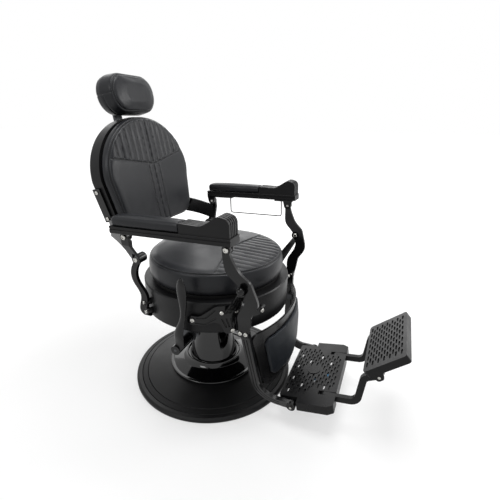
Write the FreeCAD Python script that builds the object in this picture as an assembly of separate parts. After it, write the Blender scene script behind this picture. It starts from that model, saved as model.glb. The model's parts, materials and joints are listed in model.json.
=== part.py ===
import FreeCAD, Part
import math
import os

os.makedirs("parts", exist_ok=True)
Vec = FreeCAD.Vector
X_AXIS = Vec(1, 0, 0)
Z_AXIS = Vec(0, 0, 1)
ORIGIN = Vec(0, 0, 0)

# Driving dimensions in millimetres; the floor is z = 0, the chair faces -Y, its right side is -X
BASE_DIAMETER = 700.0
BASE_CROWN = 50.0
FLANGE_DIAMETER = 394.0
CONE_HEIGHT = 190.0
LIFT_TRAVEL = 150.0
PISTON_DIAMETER = 72.0
SEAT_DIAMETER = 592.0
SEAT_FORWARD = 29.0
DRUM_FLOOR = 378.0
DRUM_HEIGHT = 120.0
CUSHION_HEIGHT = 92.0
BACK_WIDTH = 500.0
BACK_HEIGHT = 432.0
BACK_LEAN = 10.0
HEADREST_WIDTH = 250.0
HEADREST_HEIGHT = 148.0
ARM_WIDTH = 64.0
SIDE_PLATE = 12.0
FOOT_WIDTH = 398.0
FOOT_DEPTH = 208.0
TOE_WIDTH = 300.0
TOE_DEPTH = 162.0
PIN_DIAMETER = 10.0

# Clearances
FIT = 0.3
SIDE_GAP = 1.0
OPEN_PIVOT_GAP = 1.5

# Places that follow from the driving dimensions
BASE_R = BASE_DIAMETER / 2
FLANGE_R = FLANGE_DIAMETER / 2
PISTON_R = PISTON_DIAMETER / 2
SEAT_R = SEAT_DIAMETER / 2
SEAT_Y = -SEAT_FORWARD
PIN_R = PIN_DIAMETER / 2
DRUM_TOP = DRUM_FLOOR + DRUM_HEIGHT
PAN_THICKNESS = 10.0
PAN_TOP = DRUM_TOP + PAN_THICKNESS
SEAT_TOP = PAN_TOP + CUSHION_HEIGHT
EAR_THICKNESS = 10.0
OUTER_X = SEAT_R + EAR_THICKNESS + 2 * SIDE_GAP
OUTER_END = OUTER_X + SIDE_PLATE
EAR_END = OUTER_X - SIDE_GAP
EAR_START = EAR_END - EAR_THICKNESS
ARM_OUTSET = 19.0
ARM_X = OUTER_X + ARM_OUTSET

# Pivots of the recline linkage as (y, z)
BACK_PIVOT_TURN = 36.23
BACK_PIVOT_RISE = 118.0
FRONT_PIVOT_TURN = 57.67
FRONT_PIVOT_RISE = 94.0
BACK_LEVER_SET = 8.0
BACK_LEVER_RISE = 95.0
POST_SET = 45.0
POST_RISE = 132.0
POST_DROP = 194.0
BACK_PIVOT = (SEAT_Y + SEAT_R * math.sin(math.radians(BACK_PIVOT_TURN)), DRUM_TOP + BACK_PIVOT_RISE)
FRONT_PIVOT = (SEAT_Y - SEAT_R * math.sin(math.radians(FRONT_PIVOT_TURN)), DRUM_TOP + FRONT_PIVOT_RISE)
ARM_REAR_PIVOT = (BACK_PIVOT[0] + BACK_LEVER_SET, BACK_PIVOT[1] + BACK_LEVER_RISE)
ARM_FRONT_PIVOT = (FRONT_PIVOT[0] + POST_SET, FRONT_PIVOT[1] + POST_RISE)
ARM_SPAN = math.hypot(ARM_REAR_PIVOT[0] - ARM_FRONT_PIVOT[0], ARM_FRONT_PIVOT[1] - ARM_REAR_PIVOT[1])
ARM_RISE = math.degrees(math.atan2(ARM_FRONT_PIVOT[1] - ARM_REAR_PIVOT[1],
                                   ARM_REAR_PIVOT[0] - ARM_FRONT_PIVOT[0]))

# Back frame: x to the left, y up the back, z forward; its zero plane is the front of the shell
BACK_FOOT_INSET = 13.0
BACK_FOOT_RISE = 68.0
BACK_FOOT = (SEAT_Y + SEAT_R - BACK_FOOT_INSET, SEAT_TOP + BACK_FOOT_RISE)
BACK_PLACE = FreeCAD.Placement(Vec(0, BACK_FOOT[0], BACK_FOOT[1]),
                               FreeCAD.Rotation(X_AXIS, 90.0 - BACK_LEAN))
SHELL_DEPTH = 52.0
SHELL_WALL = 6.0

# Leg rest places; the front posts lean inwards from the arm pivots down to their feet
POST_LEAN = 42.0
POST_FOOT_Z = FRONT_PIVOT[1] - POST_DROP
POST_FOOT_X = OUTER_X + SIDE_PLATE / 2 - POST_LEAN
POST_TOP_X = OUTER_X + SIDE_PLATE / 2
FOOT_LENGTH = 48.0
HEAD_LENGTH = 30.0


def post_x(z):
    """Middle of the front post's thickness at a height; its head and foot stand upright."""
    lean_top = ARM_FRONT_PIVOT[1] - HEAD_LENGTH
    share = (lean_top - z) / (lean_top - POST_FOOT_Z - FOOT_LENGTH)
    return POST_TOP_X - (POST_TOP_X - POST_FOOT_X) * min(max(share, 0.0), 1.0)


PIVOT_X = post_x(FRONT_PIVOT[1])
POST_FACE_X = PIVOT_X + SIDE_PLATE / 2
KNUCKLE_INSET = 39.0
KNUCKLE_X = SEAT_R - KNUCKLE_INSET
KNUCKLE_HALF = 14.0
LEVER_FOOT_X = KNUCKLE_X + KNUCKLE_HALF + SIDE_GAP
LEG_PIN_FORWARD = 151.0
LEG_PIN_HEIGHT = 86.0
LEG_PIN_INSET = 14.0
LEG_PIN = (FRONT_PIVOT[0] - LEG_PIN_FORWARD, LEG_PIN_HEIGHT)
LEG_PIN_X = FOOT_WIDTH / 2 - LEG_PIN_INSET
FOOT_TILT = 11.0
FOOT_TOP = 26.0
FOOT_FLOOR = -9.0
TOE_PIN_INSET = 96.0
TOE_PIN_RISE = 14.0
TOE_ARM_INSET = 22.0
TOE_PIN_FOOT = (FOOT_DEPTH - TOE_PIN_INSET, TOE_PIN_RISE)
TOE_ARM_X = TOE_WIDTH / 2 - TOE_ARM_INSET
TOE_TILT = 41.0


# Plane maps: two flat coordinates to a point in space
def side_plane(x):
    return lambda y, z: Vec(x, y, z)


def floor_plane(z):
    return lambda x, y: Vec(x, y, z)


def front_plane(y):
    return lambda x, z: Vec(x, y, z)


def corner_edges(corners, place):
    """Edges of a closed outline; every corner is (u, v, radius)."""
    count = len(corners)
    marks = []
    for i, (u, v, radius) in enumerate(corners):
        before = Vec(corners[i - 1][0], corners[i - 1][1], 0)
        here = Vec(u, v, 0)
        after = Vec(corners[(i + 1) % count][0], corners[(i + 1) % count][1], 0)
        if radius <= 0:
            marks.append((here, None, here))
            continue
        back = (before - here).normalize()
        ahead = (after - here).normalize()
        half = back.getAngle(ahead) / 2
        reach = radius / math.tan(half)
        middle = (back + ahead).normalize()
        centre = here + middle * (radius / math.sin(half))
        marks.append((here + back * reach, centre - middle * radius, here + ahead * reach))
    edges = []
    for i, (start, bulge, end) in enumerate(marks):
        if bulge is not None:
            points = [place(p.x, p.y) for p in (start, bulge, end)]
            edges.append(Part.Arc(*points).toShape())
        follow = marks[(i + 1) % count][0]
        if (follow - end).Length > 1e-6:
            edges.append(Part.makeLine(place(end.x, end.y), place(follow.x, follow.y)))
    return edges


def outline(corners, place):
    return Part.Wire(Part.__sortEdges__(corner_edges(corners, place)))


def slab(corners, place, direction):
    """Flat plate of the outline, thick along the direction."""
    return Part.Face(outline(corners, place)).extrude(direction)


def side_slab(corners, x_start, x_end):
    return slab(corners, side_plane(x_start), Vec(x_end - x_start, 0, 0))


def block(x_range, y_range, z_range):
    size = [end - start for start, end in (x_range, y_range, z_range)]
    return Part.makeBox(size[0], size[1], size[2], Vec(x_range[0], y_range[0], z_range[0]))


def rod_x(radius, x_start, x_end, place):
    return Part.makeCylinder(radius, x_end - x_start, Vec(x_start, place[0], place[1]), X_AXIS)


def rod_z(radius, z_start, z_end, place=(0.0, 0.0)):
    return Part.makeCylinder(radius, z_end - z_start, Vec(place[0], place[1], z_start), Z_AXIS)


def strip_corners(path, width):
    """Outline of a band of one width along a bent path of (u, v, bend radius)."""
    points = [Vec(u, v, 0) for u, v, _ in path]
    normals = []
    for start, end in zip(points, points[1:]):
        along = (end - start).normalize()
        normals.append(Vec(-along.y, along.x, 0))
    sides = ([], [])
    for i, point in enumerate(points):
        before = normals[max(i - 1, 0)]
        after = normals[min(i, len(normals) - 1)]
        middle = (before + after).normalize()
        reach = width / 2 / middle.dot(after)
        turn = before.cross(after).z
        for side, sign in zip(sides, (1, -1)):
            spot = point + middle * (reach * sign)
            bend = path[i][2]
            radius = max(bend - math.copysign(width / 2, turn) * sign, 1.0) if bend > 0 else 0
            side.append((spot.x, spot.y, radius))
    return sides[0] + sides[1][::-1]


def round_profile(corners):
    """Solid of revolution about Z of a closed (radius, height) outline."""
    face = Part.Face(outline(corners, lambda r, z: Vec(r, 0, z)))
    return face.revolve(ORIGIN, Z_AXIS, 360)


def mirrored(shape):
    return shape.mirror(ORIGIN, X_AXIS)


HEAD_CHAMFER = 1.8
SOCKET_WALL = 4.0
SOCKET_DEPTH = 2.2


def pan_screw(head_radius, head_height, shank_radius, length):
    """Screw along +X with the seat of its head at x = 0 and the shank on the +X side."""
    rim = head_height - HEAD_CHAMFER
    crown = head_radius - HEAD_CHAMFER
    corners = [(0, 0, 0), (head_radius, 0, 0), (head_radius, rim, 0), (crown, head_height, 0),
               (0, head_height, 0)]
    head = round_profile(corners)
    socket = rod_z(head_radius - SOCKET_WALL, head_height - SOCKET_DEPTH, head_height)
    shank = rod_z(shank_radius, -length, 0)
    screw = head.cut(socket).fuse(shank)
    screw.rotate(ORIGIN, Vec(0, 1, 0), -90)
    return screw


def moved(shape, x, y, z):
    copy = shape.copy()
    copy.translate(Vec(x, y, z))
    return copy


def save(name, shapes):
    shape = shapes if not isinstance(shapes, list) else Part.makeCompound(shapes)
    shape.exportStep("parts/" + name + ".step")


def save_pair(name, right_shape):
    save("right_" + name, right_shape)
    save("left_" + name, mirrored(right_shape))


def both(shapes):
    return shapes + [mirrored(s) for s in shapes]


# Base: dished plate, foot ring, flange dish, cone and pump tube
FOOT_RING_HEIGHT = 4.0
FOOT_RING_INSET = 4.0
FOOT_RING_WIDTH = 26.0
RING_ROUND = 2.0
PLATE_SKIN = 5.0
PLATE_EDGE = 34.0
RIM_HEIGHT = 20.0
RIM_WIDTH = 25.0
RIM_BEVEL = 9.0
RIM_BEVEL_DROP = 6.0
GROOVE_HALF = 2.0
GROOVE_DEPTH = 3.0
BAND_WIDTH = 24.0
BAND_RISE = 5.0
DOME_OUT = 20.0
DOME_DROP = 6.0
DOME_BEND = 40.0
FLANGE_LIP = 10.0
FLANGE_RISE = 36.0
FLANGE_SKIN = 4.0
FLANGE_TOP = BASE_CROWN + FLANGE_RISE
LIP_WIDTH = 12.0
LIP_STEP = 4.0
LIP_DROP = 3.0
DISH_OUT = 14.0
DISH_DROP = 10.0
DISH_BEND = 30.0
SHOULDER_OUT = 12.0
SHOULDER_IN = 10.0
DISH_UNDER = 6.0
CONE_R = 106.4
CONE_TOP_R = 66.0
CONE_SKIN = 5.0
CONE_TOP = FLANGE_TOP + CONE_HEIGHT
CONE_BEVEL = 4.0
BEAD = 2.0
BEAD_HEIGHT = 6.0
BEAD_WIDTH = 8.0
CYLINDER_WALL = 12.0
CYLINDER_R = PISTON_R + FIT + CYLINDER_WALL
TUBE_FLANGE = 8.0
TUBE_FLANGE_WIDTH = 36.0


def base_plate():
    groove = BASE_R - RIM_WIDTH
    band = groove - BAND_WIDTH
    band_top = RIM_HEIGHT + BAND_RISE
    edge = BASE_R - PLATE_EDGE
    top = [(BASE_R, FOOT_RING_HEIGHT, 0), (BASE_R, RIM_HEIGHT - RIM_BEVEL_DROP, 5.0),
           (BASE_R - RIM_BEVEL, RIM_HEIGHT, 3.0),
           (groove + GROOVE_HALF, RIM_HEIGHT, 0), (groove, RIM_HEIGHT - GROOVE_DEPTH, 0),
           (groove - GROOVE_HALF, RIM_HEIGHT, 0),
           (band + GROOVE_HALF, band_top, 0), (band, band_top - GROOVE_HALF, 0),
           (band - GROOVE_HALF, band_top + 1.0, 0),
           (FLANGE_R + DOME_OUT, BASE_CROWN - DOME_DROP, DOME_BEND), (FLANGE_R - LIP_WIDTH, BASE_CROWN, 0),
           (CYLINDER_R, BASE_CROWN, 0)]
    under = [(CYLINDER_R, BASE_CROWN - PLATE_SKIN, 0), (FLANGE_R, BASE_CROWN - PLATE_SKIN, 0),
             (band - 2 * GROOVE_HALF, RIM_HEIGHT - PLATE_SKIN + GROOVE_DEPTH, 0),
             (edge, FOOT_RING_HEIGHT + PLATE_SKIN, 0), (edge, FOOT_RING_HEIGHT, 0)]
    return round_profile(top + under)


def pump_flange():
    lip = BASE_CROWN + FLANGE_LIP
    skin = FLANGE_SKIN
    foot = FLANGE_R - LIP_WIDTH - LIP_STEP
    return round_profile([
        (FLANGE_R - LIP_WIDTH, BASE_CROWN, 0), (FLANGE_R - BEAD, BASE_CROWN, 0),
        (FLANGE_R, BASE_CROWN + BEAD, 0), (FLANGE_R, lip, LIP_STEP),
        (FLANGE_R - LIP_WIDTH, lip, LIP_STEP), (foot, lip - LIP_DROP, 0),
        (CONE_R + DISH_OUT, FLANGE_TOP - DISH_DROP, DISH_BEND), (CONE_R + SHOULDER_OUT, FLANGE_TOP, 3.0),
        (CONE_R - SHOULDER_IN, FLANGE_TOP, 0), (CONE_R - SHOULDER_IN, FLANGE_TOP - skin, 0),
        (CONE_R + DISH_UNDER, FLANGE_TOP - skin - DISH_UNDER, 0), (foot - BEAD, lip - LIP_DROP - skin, 0)])


def pump_cone():
    bead_r = CONE_R + BEAD
    bead_top = FLANGE_TOP + BEAD_HEIGHT
    return round_profile([
        (bead_r - BEAD_WIDTH, FLANGE_TOP, 0), (bead_r, FLANGE_TOP, 0), (bead_r, bead_top, BEAD),
        (CONE_R - BEAD, bead_top + BEAD, 0), (CONE_TOP_R, CONE_TOP - CONE_BEVEL, CONE_BEVEL),
        (CYLINDER_R, CONE_TOP, 0), (CYLINDER_R, CONE_TOP - CONE_SKIN, 0),
        (CONE_TOP_R - CONE_SKIN, CONE_TOP - CONE_SKIN - CONE_BEVEL, 0)])


def make_base():
    ring_r = BASE_R - FOOT_RING_INSET
    ring_in = ring_r - FOOT_RING_WIDTH
    ring = round_profile([(ring_in, 0, RING_ROUND), (ring_r, 0, RING_ROUND), (ring_r, FOOT_RING_HEIGHT, 0),
                          (ring_in, FOOT_RING_HEIGHT, 0)])
    seat = BASE_CROWN - PLATE_SKIN
    floor = seat - TUBE_FLANGE
    foot = CYLINDER_R + TUBE_FLANGE_WIDTH
    bore = PISTON_R + FIT
    cylinder = round_profile([(0, floor, 0), (foot, floor, 0), (foot, seat, 0), (CYLINDER_R, seat, 0),
                              (CYLINDER_R, CONE_TOP, 0), (bore, CONE_TOP, 0), (bore, floor + TUBE_FLANGE, 0),
                              (0, floor + TUBE_FLANGE, 0)])
    save("base_plate", base_plate())
    save("base_foot_ring", ring)
    save("pump_flange", pump_flange())
    save("pump_cone", pump_cone())
    save("pump_cylinder", cylinder)


# Lift: ram and bearing ring
HUB_GAP = 16.0
FRAME_HEIGHT = 30.0
HUB_WALL = 26.0
HUB_ROOF = 12.0
HUB_FLOOR = CONE_TOP + HUB_GAP
HUB_TOP = DRUM_FLOOR - FRAME_HEIGHT
HUB_R = PISTON_R + HUB_WALL
BEARING_HEIGHT = 8.0
BEARING_ROUND = 2.0
SPIGOT_STEP = 8.0
SPIGOT_R = PISTON_R - SPIGOT_STEP
SPIGOT_CHAMFER = 4.0
PISTON_TOP = HUB_TOP - HUB_ROOF
PISTON_TAIL = 36.0


def make_lift():
    floor = CONE_TOP - LIFT_TRAVEL - PISTON_TAIL
    shoulder = HUB_FLOOR
    bearing_top = shoulder + BEARING_HEIGHT
    rim = PISTON_TOP - SPIGOT_CHAMFER
    piston = round_profile([(0, floor, 0), (PISTON_R, floor, 0), (PISTON_R, shoulder, 0),
                            (SPIGOT_R, shoulder, 0), (SPIGOT_R, rim, 0),
                            (SPIGOT_R - SPIGOT_CHAMFER, PISTON_TOP, 0), (0, PISTON_TOP, 0)])
    bearing = round_profile([(SPIGOT_R, shoulder, 0), (PISTON_R, shoulder, 0),
                             (PISTON_R, bearing_top, BEARING_ROUND), (SPIGOT_R, bearing_top, 0)])
    save("lift_piston", piston)
    save("swivel_bearing", bearing)


# Seat: hub, cross frame, drum, pan and cushion
HUB_BEVEL = 6.0
HUB_FLANGE = 10.0
FRAME_REACH = 195.0
FRAME_WIDTH = 48.0
FRAME_TIP = 12.0
TIP_ROUND = 3.0
ROOT_ROUND = 8.0
DRUM_WALL = 3.0
DRUM_HOLE_R = 59.0
DRUM_RIM = 37.0
DRUM_CHAMFER = 4.0
PAN_OVERLAP = 3.0
OVERCUT = 1.0


def seat_centred(shape):
    return moved(shape, 0, SEAT_Y, 0)


def make_seat_core():
    bearing_top = HUB_FLOOR + BEARING_HEIGHT + FIT
    hub = round_profile([(PISTON_R + FIT, HUB_FLOOR, 0), (HUB_R - HUB_BEVEL, HUB_FLOOR, TIP_ROUND),
                         (HUB_R, HUB_FLOOR + 2 * HUB_BEVEL, 0), (HUB_R, HUB_TOP, 0), (0, HUB_TOP, 0),
                         (0, PISTON_TOP + FIT, 0), (SPIGOT_R + FIT, PISTON_TOP + FIT, 0),
                         (SPIGOT_R + FIT, bearing_top, 0), (PISTON_R + FIT, bearing_top, 0)])
    reach = FRAME_REACH
    root = HUB_R + HUB_FLANGE
    tip = DRUM_FLOOR - FRAME_TIP
    arm = slab([(-reach, DRUM_FLOOR, 0), (-reach, tip, TIP_ROUND), (-root, HUB_TOP, ROOT_ROUND),
                (root, HUB_TOP, ROOT_ROUND), (reach, tip, TIP_ROUND), (reach, DRUM_FLOOR, 0)],
               front_plane(-FRAME_WIDTH / 2), Vec(0, FRAME_WIDTH, 0))
    cross = arm.copy()
    cross.rotate(ORIGIN, Z_AXIS, 90)
    cross.translate(Vec(0, SEAT_Y, 0))
    frame = arm.fuse(cross).fuse(rod_z(root, HUB_TOP, DRUM_FLOOR)).removeSplitter()
    save("swivel_hub", hub)
    save("seat_frame", frame)


def drum_tool(extra=0.0):
    return seat_centred(rod_z(SEAT_R + extra, DRUM_FLOOR - OVERCUT, DRUM_TOP + OVERCUT))


# Seat cushion: crowned round pad with a ribbed front half in front of a shallow chevron seam
CUSHION_INSET = 21.0
FOOT_TUCK = 7.0
SEAM_TUCK = 9.0
EDGE_TUCK = 28.0
CROWN_BAND = 110.0
CUSHION_R = SEAT_R - CUSHION_INSET
CUSHION_FOOT_R = CUSHION_R - FOOT_TUCK
CUSHION_SEAM_R = CUSHION_R - SEAM_TUCK
CUSHION_EDGE_R = CUSHION_R - EDGE_TUCK
CUSHION_CROWN_R = CUSHION_EDGE_R - CROWN_BAND
CUSHION_BULGE = 34.0
CUSHION_SHOULDER = 14.0
CUSHION_EDGE_DROP = 3.0
CUSHION_CROWN = 4.0
RIB_PITCH = 31.0
CHANNEL_R = 4.0
CHANNEL_LIFT = 1.0
SEAT_SEAM_FORWARD = 63.0
SEAT_SEAM_SLOPE = 0.22


def cushion_top(radius):
    """Height of the cushion's face at a distance from its middle."""
    marks = ((0.0, CUSHION_CROWN), (CUSHION_CROWN_R, CUSHION_CROWN / 2),
             (CUSHION_EDGE_R, -CUSHION_EDGE_DROP))
    for (near, high), (far, low) in zip(marks, marks[1:]):
        if radius <= far:
            return SEAT_TOP + high + (low - high) * (radius - near) / (far - near)
    return SEAT_TOP - CUSHION_EDGE_DROP


def channel(start, end, radius=CHANNEL_R):
    """Round cutter along a straight line."""
    return Part.makeCylinder(radius, (end - start).Length, start, end - start)


def seat_channels():
    """Cutters for the rib channels and the two arms of the seam, about the middle of the seat."""
    cutters = []
    count = int(CUSHION_EDGE_R / RIB_PITCH)
    for i in range(-count, count + 1):
        x = i * RIB_PITCH
        rear = -SEAT_SEAM_FORWARD - SEAT_SEAM_SLOPE * abs(x)
        front = -math.sqrt(CUSHION_EDGE_R ** 2 - x ** 2)
        if rear - front > RIB_PITCH:
            ends = [Vec(x, y, cushion_top(math.hypot(x, y)) + CHANNEL_LIFT) for y in (rear, front)]
            cutters.append(channel(*ends))
    for sign in (-1, 1):
        tip = sign * (CUSHION_EDGE_R - CUSHION_SHOULDER)
        rear = -SEAT_SEAM_FORWARD - SEAT_SEAM_SLOPE * abs(tip)
        marks = [Vec(x, y, cushion_top(math.hypot(x, y)) + CHANNEL_LIFT)
                 for x, y in ((0.0, -SEAT_SEAM_FORWARD), (tip, rear))]
        cutters.append(channel(*marks))
    return cutters


def make_cushion():
    foot = Vec(CUSHION_FOOT_R, 0, PAN_TOP)
    seam = Vec(CUSHION_SEAM_R, 0, SEAT_TOP - CUSHION_SHOULDER)
    edge = Vec(CUSHION_EDGE_R, 0, SEAT_TOP - CUSHION_EDGE_DROP)
    brow = Vec(CUSHION_CROWN_R, 0, cushion_top(CUSHION_CROWN_R))
    crown = Vec(0, 0, SEAT_TOP + CUSHION_CROWN)
    floor = Vec(0, 0, PAN_TOP)
    side = Part.Arc(foot, Vec(CUSHION_R, 0, PAN_TOP + CUSHION_BULGE), seam).toShape()
    lines = [Part.makeLine(*ends) for ends in ((seam, edge), (edge, brow), (brow, crown), (crown, floor))]
    profile = Part.Wire([Part.makeLine(floor, foot), side] + lines)
    pad = Part.Face(profile).revolve(ORIGIN, Z_AXIS, 360)
    return pad.cut(seat_channels())


def make_seat_round(drum_holes):
    inner = SEAT_R - DRUM_WALL
    opening = SEAT_R - DRUM_RIM
    drum = round_profile([(DRUM_HOLE_R, DRUM_FLOOR, 0), (SEAT_R - DRUM_CHAMFER, DRUM_FLOOR, 0),
                          (SEAT_R, DRUM_FLOOR + DRUM_CHAMFER, 0), (SEAT_R, DRUM_TOP - DRUM_CHAMFER, 0),
                          (SEAT_R - DRUM_CHAMFER, DRUM_TOP, 0), (opening, DRUM_TOP, 0),
                          (opening, DRUM_TOP - DRUM_WALL, 0), (inner - DRUM_CHAMFER, DRUM_TOP - DRUM_WALL, 0),
                          (inner, DRUM_TOP - DRUM_CHAMFER - DRUM_WALL, 0),
                          (inner, DRUM_FLOOR + DRUM_CHAMFER + DRUM_WALL, 0),
                          (inner - DRUM_CHAMFER, DRUM_FLOOR + DRUM_WALL, 0),
                          (DRUM_HOLE_R, DRUM_FLOOR + DRUM_WALL, 0)])
    pan_r = opening + PAN_OVERLAP
    pan = round_profile([(0, DRUM_TOP, 0), (pan_r, DRUM_TOP, 0), (pan_r, PAN_TOP, 0), (0, PAN_TOP, 0)])
    save("seat_drum", seat_centred(drum).cut(drum_holes))
    save("seat_pan", seat_centred(pan))
    save("seat_cushion", seat_centred(make_cushion()))


# Side castings: fluted brackets that wrap round the drum, each with a ball-ended arm outside the front post
CASTING_BOLT_R = 4.0
CASTING_HEAD_R = 7.5
CASTING_HEAD = 6.0
HEAD_ROOM = 1.0
ROOM_DEPTH = 40.0
NUT_ROOM = 6.0
BOSS_R = 13.0
FLUTE_R = 2.6
FLUTES = (-1.5, -0.5, 0.5, 1.5)
SHELL_BAND = 12.0
BALL_R = 14.0
BALL_OUT = 12.0
COLLAR_R = 14.5
COLLAR_HEIGHT = 5.0
CASTING_ARM = 14.0
ARM_FOOT_WIDTH = 54.0
ARM_FOOT_DROP = 36.0
ARM_FOOT_TURN = 37.0
ARM_HEAD_WIDTH = 25.0
ARM_NECK = 14.0
POST_EYE_R = 17.0
HEAD_EYE_R = 15.0
# Bolts of the bracket as turn about the drum in degrees, from straight right towards the front, and height
CASTING_BOLTS = {
    "rear": (11.5, DRUM_FLOOR + 58.0),
    "middle": (30.6, DRUM_TOP - 30.0),
    "upper": (40.3, DRUM_TOP - 28.0),
    "low": (37.5, DRUM_FLOOR + 16.5),
    "lug": (58.8, DRUM_FLOOR + 68.0),
}

# Side view of the bracket as corners set off from its bolts: bolt, rearwards, upwards, corner radius
CASTING_CORNERS = (
    ("rear", 18.0, -8.0, 8.0), ("rear", 14.0, 17.0, 9.0), ("rear", -26.0, 14.0, 30.0),
    ("middle", 12.0, 24.0, 24.0), ("upper", -16.0, 24.0, 6.0),
    ("lug", 14.0, 15.0, 8.0), ("lug", -13.0, 13.0, 9.0), ("lug", -13.0, -13.0, 9.0),
    ("lug", 14.0, -15.0, 10.0),
    ("upper", -30.0, -40.0, 12.0), ("low", -12.0, 20.0, 8.0), ("low", -12.0, -12.0, 9.0),
    ("low", 14.0, -12.0, 9.0), ("middle", 4.0, -30.0, 24.0), ("rear", -44.0, -18.0, 40.0),
    ("rear", 8.0, -19.0, 8.0),
)

# Flutes of the band as marks: bolt, turn, upwards from the bolt; those of the leg spread by a turn per flute
UPPER_FLUTE = (("rear", 14.0, 9.0), ("rear", 20.0, 11.0), ("middle", 26.5, 10.0))
LOWER_FLUTE = (("rear", 13.0, -11.0), ("rear", 20.0, -12.0), ("middle", 27.0, -20.0))
LEG_FLUTE = (("upper", 35.0, 3.0, -26.0), ("low", 36.5, 2.0, 13.0))

def round_drum(turn, height, extra):
    angle = math.radians(180.0 + turn)
    reach = SEAT_R + extra
    return Vec(reach * math.cos(angle), SEAT_Y + reach * math.sin(angle), height)


def drum_fixings(places, extra, length):
    """Screws set square to the drum, the holes that they need and the room for their heads."""
    screws = []
    holes = []
    rooms = []
    for turn, height in places:
        seat = round_drum(turn, height, extra)
        screw = pan_screw(CASTING_HEAD_R, CASTING_HEAD, CASTING_BOLT_R, length)
        screw.rotate(ORIGIN, Z_AXIS, turn)
        screws.append(moved(screw, seat.x, seat.y, seat.z))
        inward = round_drum(turn, height, 0.0) - seat
        holes.append(Part.makeCylinder(CASTING_BOLT_R, length, seat, inward))
        rooms.append(Part.makeCylinder(CASTING_HEAD_R + HEAD_ROOM, ROOM_DEPTH, seat, inward * -1))
    return screws, holes, rooms


def casting_body():
    """Part of a band round the drum, cut out to the bracket's side view."""
    bolts = {name: round_drum(turn, height, 0.0) for name, (turn, height) in CASTING_BOLTS.items()}
    corners = []
    for name, back, up, radius in CASTING_CORNERS:
        corners.append((bolts[name].y + back, bolts[name].z + up, radius))
    band = drum_tool(SHELL_BAND).cut(drum_tool())
    return band.common(side_slab(corners, -SEAT_R - SHELL_BAND, 0.0))


def band_flute(marks):
    """Cutters along (bolt, turn, upwards) marks on the outside of the band."""
    spots = [round_drum(turn, CASTING_BOLTS[name][1] + up, SHELL_BAND) for name, turn, up in marks]
    return [channel(start, end, FLUTE_R) for start, end in zip(spots, spots[1:])]


class ArmEnd:
    """Level oblong at one end of the bracket's arm; along runs forward round the drum, out points away."""

    def __init__(self, centre, turn, width):
        angle = math.radians(turn)
        self.centre = centre
        self.along = Vec(math.sin(angle), -math.cos(angle), 0)
        self.out = Vec(-math.cos(angle), -math.sin(angle), 0)
        self.width = width

    def wire(self):
        half = self.along * (self.width / 2)
        deep = self.out * (CASTING_ARM / 2)
        corners = [self.centre - half + deep, self.centre + half + deep, self.centre + half - deep,
                   self.centre - half - deep]
        return outline([(p.x, p.y, CASTING_ARM / 4) for p in corners], floor_plane(self.centre.z))

    def face_spot(self, step):
        """Point of the outer face at one of the flutes."""
        return self.centre + self.along * (step * self.width / len(FLUTES)) + self.out * (CASTING_ARM / 2)


def make_castings():
    face_x = POST_FACE_X + SIDE_GAP
    pivot_y, pivot_z = FRONT_PIVOT
    foot_spot = round_drum(ARM_FOOT_TURN, DRUM_TOP - ARM_FOOT_DROP, SHELL_BAND / 2)
    foot = ArmEnd(foot_spot, ARM_FOOT_TURN, ARM_FOOT_WIDTH)
    head = ArmEnd(Vec(-face_x - CASTING_ARM / 2, pivot_y, pivot_z - ARM_NECK), 0.0, ARM_HEAD_WIDTH)
    arm = Part.makeLoft([foot.wire(), head.wire()], True, True).cut(drum_tool())
    arm = arm.cut([channel(foot.face_spot(step), head.face_spot(step), FLUTE_R) for step in FLUTES])
    ball = Part.makeSphere(BALL_R, Vec(-face_x - BALL_OUT, pivot_y, pivot_z))
    neck = rod_z(COLLAR_R - COLLAR_HEIGHT / 2, pivot_z - ARM_NECK, pivot_z, (head.centre.x, pivot_y))
    collar = rod_z(COLLAR_R, pivot_z - ARM_NECK, pivot_z - ARM_NECK + COLLAR_HEIGHT, (head.centre.x, pivot_y))
    inside = block((-face_x, 0.0), (pivot_y - POST_EYE_R, pivot_y + POST_EYE_R),
                   (pivot_z - ARM_NECK, pivot_z + BALL_R))
    casting = casting_body().fuse([arm] + [knob.cut(inside) for knob in (ball, neck, collar)])
    places = list(CASTING_BOLTS.values())
    flutes = band_flute(UPPER_FLUTE) + band_flute(LOWER_FLUTE)
    for step in FLUTES:
        flutes += band_flute([(bolt, turn + spread * step, up) for bolt, turn, spread, up in LEG_FLUTE])
    eye = rod_x(POST_EYE_R + SIDE_GAP, -face_x, -face_x + SIDE_PLATE + 2 * PIVOT_HEAD, FRONT_PIVOT)
    post_room = bar_loft(post_sections(2 * SIDE_GAP), SIDE_PLATE + 2 * SIDE_GAP).fuse(eye)
    pin_hole = rod_x(PIN_R + FIT, -face_x - PIN_SEAT - FIT, -face_x, FRONT_PIVOT)
    bolts, holes, rooms = drum_fixings(places, SHELL_BAND, SHELL_BAND + DRUM_WALL + NUT_ROOM)
    casting = casting.cut(flutes).cut(post_room).cut(pin_hole)
    save_pair("casting", casting.cut(holes + rooms))
    return bolts, holes


# Rear posts: curved posts on the drum that carry the back pivots
POST_THICKNESS = 14.0
POST_STANDOFF = 18.0
BOSS_LENGTH = 24.0
KNUCKLE_R = 18.0
PIVOT_HEAD_R = 9.0
PIVOT_HEAD = 6.0
PIN_SEAT = 12.0
REAR_FIXINGS = ((-29.0, DRUM_FLOOR + 28.0), (-32.0, DRUM_FLOOR + 60.0))

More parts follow.
